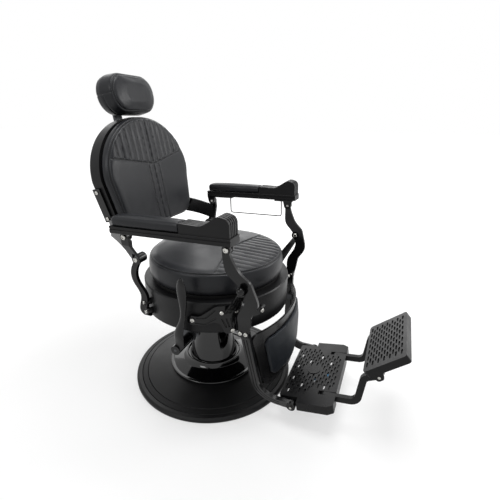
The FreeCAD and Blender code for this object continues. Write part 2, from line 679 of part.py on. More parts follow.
# Rear post from its foot to the knuckle: mark, offset outwards, rearwards and upwards, width
REAR_POST_LINE = (
    ("foot", (0.0, -2.0, -14.0), 30.0), ("fixing", (1.0, 2.0, 0.0), 30.0),
    ("rim", (0.0, -8.0, -28.0), 26.0), ("rim", (-4.0, 14.0, 2.0), 24.0),
    ("neck", (5.0, 32.0, 47.0), 24.0), ("neck", (2.0, 27.0, 78.0), 25.0), ("knuckle", (0.0, 6.0, -8.0), 30.0),
)
def bar_loft(sections, thickness, straight=False):
    """Bar through level oblongs of (x, y, z, width along y) on the right, curved or in straight runs."""
    wires = []
    for x, y, z, width in sections:
        signs = ((-1, -1), (1, -1), (1, 1), (-1, 1))
        corners = [Vec(-x + i * thickness / 2, y + j * width / 2, z) for i, j in signs]
        wires.append(Part.makePolygon(corners + [corners[0]]))
    return Part.makeLoft(wires, True, straight)


def make_rear_posts():
    lower, upper = [round_drum(turn, height, POST_STANDOFF) for turn, height in REAR_FIXINGS]
    back_y, back_z = BACK_PIVOT
    marks = {"foot": (-lower.x, lower.y, lower.z), "fixing": (-upper.x, upper.y, upper.z),
             "rim": (-upper.x, back_y, DRUM_TOP), "neck": (KNUCKLE_X, back_y, DRUM_TOP),
             "knuckle": (KNUCKLE_X, back_y, back_z)}
    sections = []
    for mark, offset, width in REAR_POST_LINE:
        x, y, z = [place + step for place, step in zip(marks[mark], offset)]
        sections.append((x, y, z, width))
    post = bar_loft(sections, POST_THICKNESS)
    post = post.fuse(rod_x(KNUCKLE_R, -KNUCKLE_X - KNUCKLE_HALF, -KNUCKLE_X + KNUCKLE_HALF, BACK_PIVOT))
    for turn, height in REAR_FIXINGS:
        outward = round_drum(turn, height, 1.0) - round_drum(turn, height, 0.0)
        boss = Part.makeCylinder(BOSS_R, BOSS_LENGTH + BOSS_R, round_drum(turn, height, -BOSS_R), outward)
        post = post.fuse(boss.cut(drum_tool()))
    pin_end = -KNUCKLE_X + PIN_SEAT / 2
    post = post.cut(rod_x(PIN_R + FIT, -KNUCKLE_X - KNUCKLE_HALF - OVERCUT, pin_end, BACK_PIVOT))
    bolts, holes, rooms = drum_fixings(REAR_FIXINGS, BOSS_LENGTH, BOSS_LENGTH + DRUM_WALL + NUT_ROOM)
    save_pair("rear_post", post.cut(holes + rooms))
    return bolts, holes


# Pump lever with its bracket, shaft and link rod on the right
LEVER_BACK = 10.0
LEVER_DROP = 56.0
LEVER_PIVOT = (SEAT_Y - LEVER_BACK, DRUM_FLOOR - LEVER_DROP)
LEVER_OUTSET = 10.0
LEVER_X = -(OUTER_END + LEVER_OUTSET)
LEVER_THICKNESS = 14.0
LEVER_EYE_R = 18.0
SHAFT_R = 9.0
SHAFT_NECK_R = 5.5
ROD_R = 3.0
ROD_EYE_R = 7.2
BRACKET_INSET = 41.0
BRACKET_CHEEK = 12.0
BRACKET_SPAN = 34.0
BRACKET_FLANGE = 6.0
BRACKET_FRONT = 34.0
BRACKET_REAR = 60.0
BRACKET_NOSE = 20.0
BRACKET_BEND = 14.0
SHAFT_SHOULDER = 4.0
ROD_BACK = 24.0
ROD_RISE = 14.0
ROD_REACH = 130.0
ROD_SEAT = 4.0
ROD_EYE_LENGTH = 16.0

# Hand lever as level ovals: forward and up from the pivot, width along y and thickness along x
LEVER_OVALS = (
    (3.0, 4.0, 36.0, 13.0), (14.0, 57.0, 37.0, 14.0), (30.0, 118.0, 24.0, 16.0), (38.0, 152.0, 21.0, 17.0),
    (40.0, 190.0, 27.0, 20.0), (38.0, 234.0, 36.0, 21.0), (37.0, 268.0, 28.0, 17.0), (38.0, 284.0, 11.0, 7.0),
)


def lever_handle():
    centre_x = LEVER_X - LEVER_THICKNESS / 2
    wires = []
    for forward, up, width, thickness in LEVER_OVALS:
        centre = Vec(centre_x, LEVER_PIVOT[0] - forward, LEVER_PIVOT[1] + up)
        oval = Part.Ellipse(centre + Vec(0, width / 2, 0), centre + Vec(thickness / 2, 0, 0), centre)
        wires.append(Part.Wire([oval.toShape()]))
    return Part.makeLoft(wires, True, False)


def make_lever():
    pivot_y, pivot_z = LEVER_PIVOT
    bracket_x = BRACKET_INSET - SEAT_R
    bracket_end = bracket_x + BRACKET_SPAN + BRACKET_CHEEK
    front = pivot_y - BRACKET_FRONT
    rear = pivot_y + BRACKET_REAR
    nose_z = pivot_z - LEVER_EYE_R
    cheek = side_slab([(front, DRUM_FLOOR, 0), (pivot_y - BRACKET_NOSE, nose_z, BRACKET_BEND),
                       (pivot_y + BRACKET_NOSE, nose_z, BRACKET_BEND), (rear, DRUM_FLOOR, 0)],
                      bracket_x, bracket_x + BRACKET_CHEEK)
    inner = moved(cheek, BRACKET_SPAN, 0, 0)
    flange = block((bracket_x, bracket_end), (front, rear), (DRUM_FLOOR - BRACKET_FLANGE, DRUM_FLOOR))
    bracket = cheek.fuse(inner).fuse(flange).removeSplitter()
    shoulder = bracket_x - SHAFT_SHOULDER
    shaft = rod_x(SHAFT_R, shoulder, bracket_end + LEVER_OUTSET, LEVER_PIVOT)
    bracket = bracket.cut(shaft)
    shaft = shaft.fuse(rod_x(SHAFT_NECK_R, LEVER_X - LEVER_THICKNESS, shoulder, LEVER_PIVOT))
    sleeve = rod_x(LEVER_EYE_R, LEVER_X - LEVER_THICKNESS, shoulder - SIDE_GAP, LEVER_PIVOT)
    bore = rod_x(SHAFT_NECK_R + FIT, LEVER_X - 2 * LEVER_THICKNESS, shoulder, LEVER_PIVOT)
    lever = lever_handle().fuse(sleeve).cut(bore)
    middle_x = bracket_x + (BRACKET_CHEEK + BRACKET_SPAN) / 2
    start = Vec(middle_x, pivot_y + ROD_BACK, pivot_z + ROD_RISE)
    end = Vec(middle_x, pivot_y + ROD_REACH, DRUM_FLOOR - ROD_SEAT)
    low_eye = rod_x(ROD_EYE_R, bracket_x + BRACKET_CHEEK, bracket_x + BRACKET_SPAN, (start.y, start.z))
    high_eye = rod_z(ROD_EYE_R, DRUM_FLOOR - ROD_EYE_LENGTH, DRUM_FLOOR, (end.x, end.y))
    save("lever_bracket", bracket)
    save("lever_shaft", shaft)
    save("link_rod", channel(start, end, ROD_R).fuse(high_eye).fuse(low_eye))
    save("pump_lever", lever)


# Back: shell, board and cushion share one outline with a straight tapered side
BACK_TAPER = 25.0
BACK_CORNER = 95.0
BACK_HIP = 64.8
BACK_ARCH_RISE = 220.3
BACK_ARCH = BACK_HEIGHT - BACK_ARCH_RISE


def back_outline(inset, level):
    half = BACK_WIDTH / 2 - inset
    bottom = half - BACK_CORNER
    side_half = half - BACK_TAPER
    rise = BACK_HIP - inset
    run = side_half - bottom
    bend = (run ** 2 + rise ** 2) / (2 * rise)
    turn = math.atan2(BACK_HIP - inset - bend, run)
    middle = (turn - math.pi / 2) / 2
    bulge = (bottom + bend * math.cos(middle), inset + bend + bend * math.sin(middle))
    oval = Part.Ellipse(Vec(0, BACK_ARCH, level), half, BACK_ARCH_RISE - inset)
    low = [Vec(sign * bottom, inset, level) for sign in (-1, 1)]
    curve = [Vec(sign * bulge[0], bulge[1], level) for sign in (-1, 1)]
    hip = [Vec(sign * side_half, BACK_HIP, level) for sign in (-1, 1)]
    arch = [Vec(sign * half, BACK_ARCH, level) for sign in (-1, 1)]
    edges = [Part.makeLine(low[0], low[1]), Part.Arc(low[1], curve[1], hip[1]).toShape(),
             Part.makeLine(hip[1], arch[1]), Part.ArcOfEllipse(oval, 0, math.pi).toShape(),
             Part.makeLine(arch[0], hip[0]), Part.Arc(hip[0], curve[0], low[0]).toShape()]
    return Part.Wire(edges)


def back_slab(inset, z_start, z_end):
    return Part.Face(back_outline(inset, z_start)).extrude(Vec(0, 0, z_end - z_start))


def in_back(shape):
    copy = shape.copy()
    copy.Placement = BACK_PLACE.multiply(copy.Placement)
    return copy


SHELL_ROUND = 12.0
BACK_BOARD = 12.0
STRAP_THICKNESS = 8.0
STRAP_DEPTH = 32.0
STRAP_SET = 2.0
STRAP_TAIL = 2.0
STRAP_ROUND = 2.0
STRAP_REAR = -SHELL_DEPTH + STRAP_SET
STRAP_LENGTH = 128.0
STRAP_HEAD = 5.0
STRAP_BOLT_R = 4.0
STRAP_HEAD_R = 7.0
STRAP_BOLT_INSET = 13.0
STEM_WIDTH = 44.0
STEM_THICKNESS = 8.0
STEM_STANDOFF = 34.0
STEM_REAR = -SHELL_DEPTH - STEM_STANDOFF
STEM_DROP = 216.0
GUIDE_HEIGHT = 110.0
GUIDE_WALL = 7.0
GUIDE_DROP = 147.0
GUIDE_FLANGE = 22.0
GUIDE_FOOT = 6.0
HEAD_GAP = 8.0
HEAD_V = BACK_HEIGHT + HEAD_GAP + HEADREST_HEIGHT / 2
HEAD_HINGE_Z = STEM_REAR + STEM_THICKNESS / 2
BACK_SEAM_V = 244.0
BACK_SEAM_SLOPE = 0.185
RIB_END_INSET = 30.0

# Inset of the back cushion's outline and its height above the shell
BACK_PAD_LEVELS = ((9.0, 0.0), (1.0, 10.0), (2.0, 28.0), (14.0, 41.0), (46.0, 46.0))


def strap_line():
    """Lower and upper end of the straight side of the shell."""
    low = Vec(BACK_WIDTH / 2 - BACK_TAPER, BACK_HIP, 0)
    high = Vec(BACK_WIDTH / 2, BACK_ARCH, 0)
    return low, high


def back_channels():
    """Cutters for the upright channels above the V seam, the seam and three lines below it."""
    level = BACK_PAD_LEVELS[-1][1] + CHANNEL_LIFT
    half = BACK_WIDTH / 2 - RIB_END_INSET
    rise = BACK_ARCH_RISE - RIB_END_INSET
    cutters = []
    count = int(half / RIB_PITCH)
    for i in range(-count, count + 1):
        u = i * RIB_PITCH
        foot = BACK_SEAM_V + BACK_SEAM_SLOPE * abs(u)
        top = BACK_ARCH + rise * math.sqrt(1 - (u / half) ** 2)
        if top - foot > RIB_PITCH:
            cutters.append(channel(Vec(u, foot, level), Vec(u, top, level)))
        if abs(i) < 2:
            cutters.append(channel(Vec(u, RIB_END_INSET, level), Vec(u, foot, level)))
    for sign in (-1, 1):
        tip = sign * (half - CHANNEL_R)
        side = Vec(tip, BACK_SEAM_V + BACK_SEAM_SLOPE * abs(tip), level)
        cutters.append(channel(Vec(0, BACK_SEAM_V, level), side))
    return cutters


def make_back():
    shell = back_slab(0, -SHELL_DEPTH, 0)
    rear_loop = [e for e in shell.Edges if abs(e.CenterOfMass.z + SHELL_DEPTH) < 1e-6]
    shell = shell.makeFillet(SHELL_ROUND, rear_loop)
    shell = shell.cut(back_slab(SHELL_WALL, -SHELL_DEPTH + SHELL_WALL, OVERCUT))
    board = back_slab(SHELL_WALL + FIT, -BACK_BOARD, 0)
    cushion = Part.makeLoft([back_outline(inset, level) for inset, level in BACK_PAD_LEVELS], True, True)
    cushion = cushion.cut(back_channels())
    low, high = strap_line()
    along = (high - low).normalize()
    out = Vec(along.y, -along.x, 0)
    foot = low - along * STRAP_TAIL
    tip = low + along * STRAP_LENGTH
    away = out * STRAP_THICKNESS
    ring = [(foot, 0), (foot + away, STRAP_ROUND), (tip + away, STRAP_ROUND), (tip, 0)]
    strap = slab([(p.x, p.y, radius) for p, radius in ring], floor_plane(STRAP_REAR), Vec(0, 0, STRAP_DEPTH))
    screw = pan_screw(STRAP_HEAD_R, STRAP_HEAD, STRAP_BOLT_R, STRAP_THICKNESS + SHELL_WALL)
    screw.rotate(ORIGIN, Z_AXIS, math.degrees(math.atan2(-out.y, -out.x)))
    bolts = []
    holes = []
    rooms = []
    level = STRAP_REAR + STRAP_DEPTH / 2
    for run in (STRAP_BOLT_INSET, STRAP_LENGTH - STRAP_BOLT_INSET):
        spot = low + along * run + out * STRAP_THICKNESS
        bolts.append(moved(screw, spot.x, spot.y, level))
        seat = Vec(spot.x, spot.y, level)
        holes.append(Part.makeCylinder(STRAP_BOLT_R, STRAP_THICKNESS + SHELL_WALL, seat, out * -1))
        rooms.append(Part.makeCylinder(STRAP_HEAD_R + HEAD_ROOM, ROOM_DEPTH, seat, out))
    shell = shell.cut(both(holes))
    guide_v = BACK_HEIGHT - GUIDE_DROP
    guide_top = guide_v + GUIDE_HEIGHT
    half = STEM_WIDTH / 2 + GUIDE_WALL
    wide = half + GUIDE_FLANGE
    guide = block((-half, half), (guide_v, guide_top), (STEM_REAR - GUIDE_WALL, -SHELL_DEPTH))
    guide = guide.fuse(block((-wide, wide), (guide_v, guide_top), (-SHELL_DEPTH - GUIDE_FOOT, -SHELL_DEPTH)))
    slot = block((-STEM_WIDTH / 2 - FIT, STEM_WIDTH / 2 + FIT), (guide_v - OVERCUT, guide_top + OVERCUT),
                 (STEM_REAR - FIT, STEM_REAR + STEM_THICKNESS + FIT))
    save("back_shell", in_back(shell))
    save("back_board", in_back(board))
    save("back_cushion", in_back(cushion))
    save("headrest_guide", in_back(guide.removeSplitter().cut(slot)))
    save("strap_bolts", both([in_back(b) for b in bolts]))
    make_back_levers(in_back(strap), [in_back(room) for room in holes + rooms])


WING_LAP = 16.0
WING_DROP = 52.0
WING_ARCH = 38.0
WING_FOOT = 8.0
WING_HEAD = 20.0
LEVER_TOP_WIDTH = 30.0
LEVER_KNEE_WIDTH = 31.0
LEVER_FOOT_WIDTH = 34.0


def make_back_levers(strap, bolt_room):
    """Strap, wing and lever plate as one casting; the strap comes in on the left."""
    middle = LEVER_FOOT_X + SIDE_PLATE / 2
    drop = HEAD_LENGTH / (ARM_REAR_PIVOT[1] - BACK_PIVOT[1])
    knee_y = ARM_REAR_PIVOT[0] + (BACK_PIVOT[0] - ARM_REAR_PIVOT[0]) * drop
    line = [(POST_TOP_X, ARM_REAR_PIVOT[0], ARM_REAR_PIVOT[1], LEVER_TOP_WIDTH),
            (POST_TOP_X, knee_y, ARM_REAR_PIVOT[1] - HEAD_LENGTH, LEVER_KNEE_WIDTH),
            (middle, BACK_PIVOT[0], BACK_PIVOT[1], LEVER_FOOT_WIDTH)]
    lever = bar_loft(line, SIDE_PLATE, True)
    lever = lever.fuse(rod_x(LEVER_TOP_WIDTH / 2 + SIDE_GAP, -OUTER_END, -OUTER_X, ARM_REAR_PIVOT))
    lever = mirrored(lever.fuse(rod_x(KNUCKLE_R, -middle - SIDE_PLATE / 2, -LEVER_FOOT_X, BACK_PIVOT)))
    rear = strap.BoundBox.YMin + WING_LAP
    rear_x = strap_line()[0].x + STRAP_THICKNESS / 2
    front = BACK_PIVOT[0]
    front_x = (POST_TOP_X + middle) / 2
    strap_z = strap.BoundBox.ZMin
    ends = ((rear, rear_x, strap_z - WING_DROP, strap_z + WING_LAP),
            ((rear + front) / 2, (rear_x + front_x) / 2, BACK_PIVOT[1] + WING_ARCH, strap_z),
            (front, front_x, BACK_PIVOT[1] + WING_FOOT, ARM_REAR_PIVOT[1] - WING_HEAD))
    sections = []
    for y, x, low, high in ends:
        inner = x - STRAP_THICKNESS / 2
        outer = x + STRAP_THICKNESS / 2
        corners = [(inner, low, 0), (outer, low, 0), (outer, high, 0), (inner, high, 0)]
        sections.append(outline(corners, front_plane(y)))
    wing = Part.makeLoft(sections, True, False)
    lever = lever.fuse(wing).fuse(strap).cut(in_back(back_slab(0, -SHELL_DEPTH, 0))).removeSplitter()
    screws = []
    pivots = ((ARM_REAR_PIVOT, OUTER_END, EAR_START), (BACK_PIVOT, LEVER_FOOT_X + SIDE_PLATE, KNUCKLE_X))
    for place, seat, inner in pivots:
        screw = pan_screw(PIVOT_HEAD_R, PIVOT_HEAD, PIN_R, seat - inner)
        screws.append(moved(screw, -seat, place[0], place[1]))
        room = rod_x(PIVOT_HEAD_R + HEAD_ROOM, seat, seat + ROOM_DEPTH / 2, place)
        lever = lever.cut(rod_x(PIN_R, inner, seat, place)).cut(room)
    lever = lever.cut(bolt_room)
    save("left_back_lever", lever)
    save("right_back_lever", mirrored(lever))
    save("lever_pivot_screws", both(screws))


# Headrest: sliding stem, tilting board and pad
HEAD_PAD_DEPTH = 100.0
BOARD_THICKNESS = 8.0
BOARD_INSET = 34.0
HEAD_LUG = 8.0
HEAD_STANDOFF = 6.0
HEAD_ROUNDNESS = 0.92
HINGE_R = 10.0

# Inset of the headrest's outline and its distance from the rear face, then from the front face
HEAD_PAD_REAR = ((30.0, 0.0), (9.0, 12.0), (0.0, 34.0))
HEAD_PAD_FRONT = ((4.0, -18.0), (19.0, -4.0), (46.0, 0.0))

def head_wire(half_width, half_height, level):
    """Rounded oblong around the middle of the headrest."""
    turn = min(half_width, half_height) * HEAD_ROUNDNESS
    corners = [(-half_width, -half_height, turn), (half_width, -half_height, turn),
               (half_width, half_height, turn), (-half_width, half_height, turn)]
    return outline([(x, y + HEAD_V, r) for x, y, r in corners], floor_plane(level))


def make_headrest():
    half_w = HEADREST_WIDTH / 2
    half_h = HEADREST_HEIGHT / 2
    rear = HEAD_HINGE_Z + HINGE_R + HEAD_STANDOFF + BOARD_THICKNESS
    front = rear + HEAD_PAD_DEPTH
    levels = [(inset, rear + step) for inset, step in HEAD_PAD_REAR]
    levels += [(inset, front + step) for inset, step in HEAD_PAD_FRONT]
    pad = Part.makeLoft([head_wire(half_w - inset, half_h - inset, z) for inset, z in levels], True, True)
    face = Part.Face(head_wire(half_w - BOARD_INSET, half_h - BOARD_INSET, rear - BOARD_THICKNESS))
    board = face.extrude(Vec(0, 0, BOARD_THICKNESS))
    hinge = (HEAD_V, HEAD_HINGE_Z)
    lug_start = STEM_WIDTH / 2 + SIDE_GAP
    for sign in (1, -1):
        span = sorted((sign * lug_start, sign * (lug_start + HEAD_LUG)))
        lug = block(span, (HEAD_V - HINGE_R, HEAD_V + HINGE_R), (HEAD_HINGE_Z, rear - BOARD_THICKNESS))
        board = board.fuse(lug.fuse(rod_x(HINGE_R, span[0], span[1], hinge)))
    pin = rod_x(PIN_R, -lug_start - HEAD_LUG, lug_start + HEAD_LUG, hinge)
    board = board.cut(pin).removeSplitter()
    foot = BACK_HEIGHT - STEM_DROP
    stem = block((-STEM_WIDTH / 2, STEM_WIDTH / 2), (foot, HEAD_V), (STEM_REAR, STEM_REAR + STEM_THICKNESS))
    stem = stem.fuse(rod_x(HINGE_R, -STEM_WIDTH / 2, STEM_WIDTH / 2, hinge)).removeSplitter()
    stem = stem.cut(rod_x(PIN_R + FIT, -STEM_WIDTH, STEM_WIDTH, hinge))
    save("headrest_pad", in_back(pad))
    save("headrest_board", in_back(board))
    save("headrest_pin", in_back(pin))
    save("headrest_stem", in_back(stem))


# Armrests: drawn level with u forward from the rear pivot and h up, then turned to the arm line
RAIL_FLOOR = 24.0
RAIL_HEIGHT = 24.0
RAIL_ROUND = 3.0
RAIL_GROOVE = 2.0
RAIL_GROOVE_LOW = 13.0
RAIL_GROOVE_HIGH = 19.0
RAIL_TOP = RAIL_FLOOR + RAIL_HEIGHT
PAD_HEIGHT = 36.0
PAD_INSET = 2.0
PAD_END_GAP = 3.0
PAD_CORNER = 12.0
PAD_END_CORNER = 2.0
ARM_TAIL = 20.0
ARM_NOSE = 35.0
ARM_FRONT_END = ARM_SPAN + ARM_NOSE
GRIP_LENGTH = 175.0
GRIP_START = ARM_FRONT_END - GRIP_LENGTH
GRIP_SEAM = 1.0
GRIP_INSET = 3.0
GRIP_STEP = 4.0
GRIP_WAIST = 92.0
GRIP_WAIST_DROP = 8.0
GRIP_SWEEP = 60.0
GRIP_CROWN = 36.0
GRIP_CROWN_RISE = 64.0
GRIP_NOSE_RISE = 54.0
GRIP_ROUND = 22.0
RIDGE_COUNT = 5
RIDGE_GAP = 2.2
RIDGE_HEIGHT = 5.0
BRACKET_PLATE = 5.5
BRACKET_OUTREACH = 14.0
REAR_PLATE_AHEAD = 112.0
FRONT_PLATE_BEHIND = 62.0
FRONT_PLATE_AHEAD = 22.0
ARM_EYE_R = 14.0
ARM_EYE_ROUND = 13.0
ARM_EAR_BEHIND = 22.0
ARM_EAR_AHEAD = 20.0
ARM_SCREW_R = 3.0
ARM_SCREW_HEAD_R = 6.0
ARM_SCREW_HEAD = 3.5
ARM_SCREW_BITE = 16.0
ARM_SCREW_INSET = 4.0
ARM_SCREWS = (34.0, 74.0, ARM_SPAN - 48.0, ARM_SPAN - 24.0)
WIRE_R = 2.5
WIRE_BEND = 10.0
WIRE_DROP = 58.0
WIRE_OUTSET = 4.0
WIRE_ENDS = (88.0, ARM_SPAN - 40.0)

# Inset of the arm pad's outline and its height above the rail, up to and then below its face
PAD_FOOT = ((2.0, 0.0), (0.0, 8.0))
PAD_CROWN = ((0.0, 12.0), (5.0, 3.0), (18.0, 0.0))
PAD_END_SHARE = 0.3

def arm_placed(shape):
    copy = shape.copy()
    copy.rotate(Vec(0, ARM_REAR_PIVOT[0], ARM_REAR_PIVOT[1]), X_AXIS, -ARM_RISE)
    return copy


def arm_spot(u, h):
    return (ARM_REAR_PIVOT[0] - u, ARM_REAR_PIVOT[1] + h)


def arm_corners(corners):
    return [arm_spot(u, h) + (radius,) for u, h, radius in corners]


def grip_profile(drop):
    """Side view of the scroll grip; drop lowers the top for the valleys between the ridges."""
    end = ARM_FRONT_END - GRIP_INSET - drop
    start = GRIP_START + GRIP_SEAM
    pad_top = RAIL_TOP + PAD_HEIGHT
    return [(start, RAIL_TOP, 0), (start, pad_top - GRIP_STEP - drop, RAIL_ROUND),
            (end - GRIP_WAIST, pad_top - GRIP_WAIST_DROP - drop, GRIP_SWEEP),
            (end - GRIP_CROWN, RAIL_TOP + GRIP_CROWN_RISE - drop, GRIP_ROUND),
            (end, RAIL_TOP + GRIP_NOSE_RISE - drop, GRIP_ROUND), (end, RAIL_TOP, 0)]


def make_arm_pad():
    half = ARM_WIDTH / 2 - PAD_INSET
    levels = PAD_FOOT + tuple((inset, PAD_HEIGHT - drop) for inset, drop in PAD_CROWN)
    sections = []
    for inset, height in levels:
        start = ARM_REAR_PIVOT[0] + ARM_TAIL - PAD_END_GAP - inset
        end = ARM_REAR_PIVOT[0] - GRIP_START + inset * PAD_END_SHARE
        wide = half - inset
        corners = [(-ARM_X - wide, start, PAD_CORNER), (-ARM_X + wide, start, PAD_CORNER),
                   (-ARM_X + wide, end, PAD_END_CORNER), (-ARM_X - wide, end, PAD_END_CORNER)]
        sections.append(outline(corners, floor_plane(ARM_REAR_PIVOT[1] + RAIL_TOP + height)))
    return Part.makeLoft(sections, True, True)


def make_arm_bracket(pivot_u, plate_start, plate_end, hole_r):
    plate = block((-ARM_X - BRACKET_OUTREACH, -EAR_START),
                  (ARM_REAR_PIVOT[0] - plate_end, ARM_REAR_PIVOT[0] - plate_start),
                  (ARM_REAR_PIVOT[1] + RAIL_FLOOR - BRACKET_PLATE, ARM_REAR_PIVOT[1] + RAIL_FLOOR))
    corners = [(pivot_u - ARM_EAR_BEHIND, RAIL_FLOOR, 0), (pivot_u - ARM_EYE_R, -ARM_EYE_R, ARM_EYE_ROUND),
               (pivot_u + ARM_EYE_R, -ARM_EYE_R, ARM_EYE_ROUND), (pivot_u + ARM_EAR_AHEAD, RAIL_FLOOR, 0)]
    ear = side_slab(arm_corners(corners), -EAR_END, -EAR_START)
    hole = rod_x(hole_r, -EAR_END - OVERCUT, -EAR_START + OVERCUT, arm_spot(pivot_u, 0))
    return plate.fuse(ear).removeSplitter().cut(hole)


def make_arm_rail():
    """Rail with a groove along each side."""
    half = ARM_WIDTH / 2
    neck = half - RAIL_GROOVE
    slope = RAIL_GROOVE / 2
    side = [(half, 0, RAIL_ROUND), (half, RAIL_GROOVE_LOW, 0), (neck, RAIL_GROOVE_LOW + slope, 0),
            (neck, RAIL_GROOVE_HIGH - slope, 0), (half, RAIL_GROOVE_HIGH, 0),
            (half, RAIL_HEIGHT, RAIL_GROOVE)]
    section = side + [(-u, v, radius) for u, v, radius in side[::-1]]
    section = [(u - ARM_X, v + ARM_REAR_PIVOT[1] + RAIL_FLOOR, radius) for u, v, radius in section]
    front = ARM_REAR_PIVOT[0] - ARM_FRONT_END
    return slab(section, front_plane(front), Vec(0, ARM_FRONT_END + ARM_TAIL, 0))


def make_arm_grip():
    """Scroll grip with ridges along its length."""
    wide = ARM_WIDTH / 2 - GRIP_INSET
    pitch = 2 * wide / RIDGE_COUNT
    grip = side_slab(arm_corners(grip_profile(RIDGE_HEIGHT)), -ARM_X - wide, -ARM_X + wide)
    for i in range(RIDGE_COUNT):
        start = -ARM_X - wide + pitch * i + (RIDGE_GAP if i else 0)
        end = -ARM_X - wide + pitch * (i + 1) - (RIDGE_GAP if i < RIDGE_COUNT - 1 else 0)
        grip = grip.fuse(side_slab(arm_corners(grip_profile(0.0)), start, end))
    return grip.removeSplitter()


def make_arms():
    rear_bracket = make_arm_bracket(0.0, -ARM_TAIL, REAR_PLATE_AHEAD, PIN_R + FIT)
    front_bracket = make_arm_bracket(ARM_SPAN, ARM_SPAN - FRONT_PLATE_BEHIND, ARM_SPAN + FRONT_PLATE_AHEAD,
                                     PIN_R + OPEN_PIVOT_GAP)
    length = BRACKET_PLATE + ARM_SCREW_BITE
    screw = pan_screw(ARM_SCREW_HEAD_R, ARM_SCREW_HEAD, ARM_SCREW_R, length)
    screw.rotate(ORIGIN, Vec(0, 1, 0), -90)
    screw_x = -ARM_X + ARM_SCREW_INSET
    screws = []
    holes = []
    for u in ARM_SCREWS:
        y, z = arm_spot(u, RAIL_FLOOR - BRACKET_PLATE)
        screws.append(moved(screw, screw_x, y, z))
        holes.append(rod_z(ARM_SCREW_R, z, z + length, (screw_x, y)))
    rail = make_arm_rail().cut(holes)
    for name, shape in (("arm_rail", rail), ("arm_pad", make_arm_pad()), ("arm_grip", make_arm_grip())):
        save_pair(name, arm_placed(shape))
    wire_x = -ARM_X - WIRE_OUTSET
    tip_z = arm_spot(0, RAIL_FLOOR - BRACKET_PLATE - OVERCUT)[1]
    tips = [rod_z(WIRE_R, tip_z, arm_spot(0, RAIL_FLOOR)[1], (wire_x, arm_spot(u, 0)[0])) for u in WIRE_ENDS]
    brackets = [arm_placed(b.cut(holes)) for b in (rear_bracket, front_bracket)]
    tipped = [mirrored(b.cut([arm_placed(t) for t in tips])) for b in brackets]
    save("right_arm_brackets", brackets)
    save("left_arm_brackets", tipped)
    save_pair("bracket_screws", Part.makeCompound([arm_placed(s) for s in screws]))
    save("towel_bar", mirrored(arm_placed(make_wire(wire_x))))


def make_wire(x):
    """Bent wire with two upright legs and a level run below the arm."""
    rear, front = WIRE_ENDS
    path = ((rear, RAIL_FLOOR), (rear, -WIRE_DROP), (front, -WIRE_DROP), (front, RAIL_FLOOR))
    legs = [Vec(x, *arm_spot(u, h)) for u, h in path]
    edges = []
    previous = legs[0]
    for i in (1, 2):
        back = (legs[i - 1] - legs[i]).normalize()
        ahead = (legs[i + 1] - legs[i]).normalize()
        half = back.getAngle(ahead) / 2
        reach = WIRE_BEND / math.tan(half)
        middle = (back + ahead).normalize()
        crown = legs[i] + middle * (WIRE_BEND / math.sin(half) - WIRE_BEND)
        edges.append(Part.makeLine(previous, legs[i] + back * reach))
        edges.append(Part.Arc(legs[i] + back * reach, crown, legs[i] + ahead * reach).toShape())
        previous = legs[i] + ahead * reach
    edges.append(Part.makeLine(previous, legs[3]))
    start = (legs[1] - legs[0]).normalize()
    profile = Part.Wire([Part.Circle(legs[0], start, WIRE_R).toShape()])
    return Part.Wire(edges).makePipeShell([profile], True, False)


# Leg rest: S-shaped posts, fluted bars, calf shell and pad; the post line is rearwards, upwards, width
POST_LINE = (
    (POST_SET, POST_RISE, 26.0), (44.0, 106.0, 28.0), (35.0, 72.0, 42.0), (18.0, 44.0, 54.0),
    (-5.0, 20.0, 52.0), (-22.0, -16.0, 41.0), (-27.0, -50.0, 46.0), (-10.0, -88.0, 48.0),
    (3.0, -122.0, 48.0), (4.0, -150.0, 43.0), (7.0, -174.0, 39.0), (8.0, -POST_DROP, 38.0),
)
POST_FOOT_Y = FRONT_PIVOT[0] + POST_LINE[-1][0]
TAB_THICKNESS = 10.0
TAB_X = POST_FOOT_X - SIDE_PLATE / 2 - TAB_THICKNESS / 2
TAB_HALF = 19.0
TAB_DROP = 10.0
TAB_RISE = 32.0
TAB_ROUND = 8.0
TAB_ROOM = 60.0
BAR_WIDTH = 32.0
BAR_THICKNESS = 16.0
BAR_END = 13.0
BAR_SET = 3.0
BAR_LAP = 6.0
BAR_EYE_R = BAR_WIDTH / 2 + 1.0
HEEL_FORWARD = 23.0
HEEL_BEND = 84.0
BAR_GROOVE = 3.0
BAR_GROOVE_DEPTH = 2.5
BAR_GROOVES_APART = 11.0
BAR_GROOVE_START = 20.0
BAR_GROOVE_STOP = 46.0
LEG_SCREW_R = 4.0
LEG_SCREW_HEAD_R = 7.5
LEG_SCREW_HEAD = 5.5
LEG_SCREW_SPREAD = 10.0
LEG_SCREW_RISE = 16.0
CALF_THICKNESS = 8.0
CALF_PAD_DEPTH = 16.0
CALF_PAD_INSET = 38.0
CALF_RECESS = 4.0
CALF_AHEAD = 36.0
CALF_TOP_RISE = 6.0
CALF_FLOOR_RISE = 46.0
CALF_FRONT = SEAT_Y - SEAT_R - CALF_AHEAD
CALF_TOP = DRUM_FLOOR + CALF_TOP_RISE
CALF_FLOOR = LEG_PIN[1] + CALF_FLOOR_RISE
CALF_SAG = 74.0
CALF_MARGIN = 14.0
CALF_ARCH = 8.0
CALF_PAD_ARCH = 12.0
CALF_ARCH_R = 200.0
CALF_LOW_ROUND = 30.0
CALF_HIGH_ROUND = 24.0
CALF_ROOM = 80.0
CLIP_INSET = 60.0
CLIP_REACH = 30.0
CLIP_HALF = 12.0

def post_sections(extra):
    """Level oblongs of the front post, each wider by an extra."""
    marks = [(FRONT_PIVOT[0] + along, FRONT_PIVOT[1] + up, width) for along, up, width in POST_LINE]
    return [(post_x(z), y, z, width + extra) for y, z, width in marks]


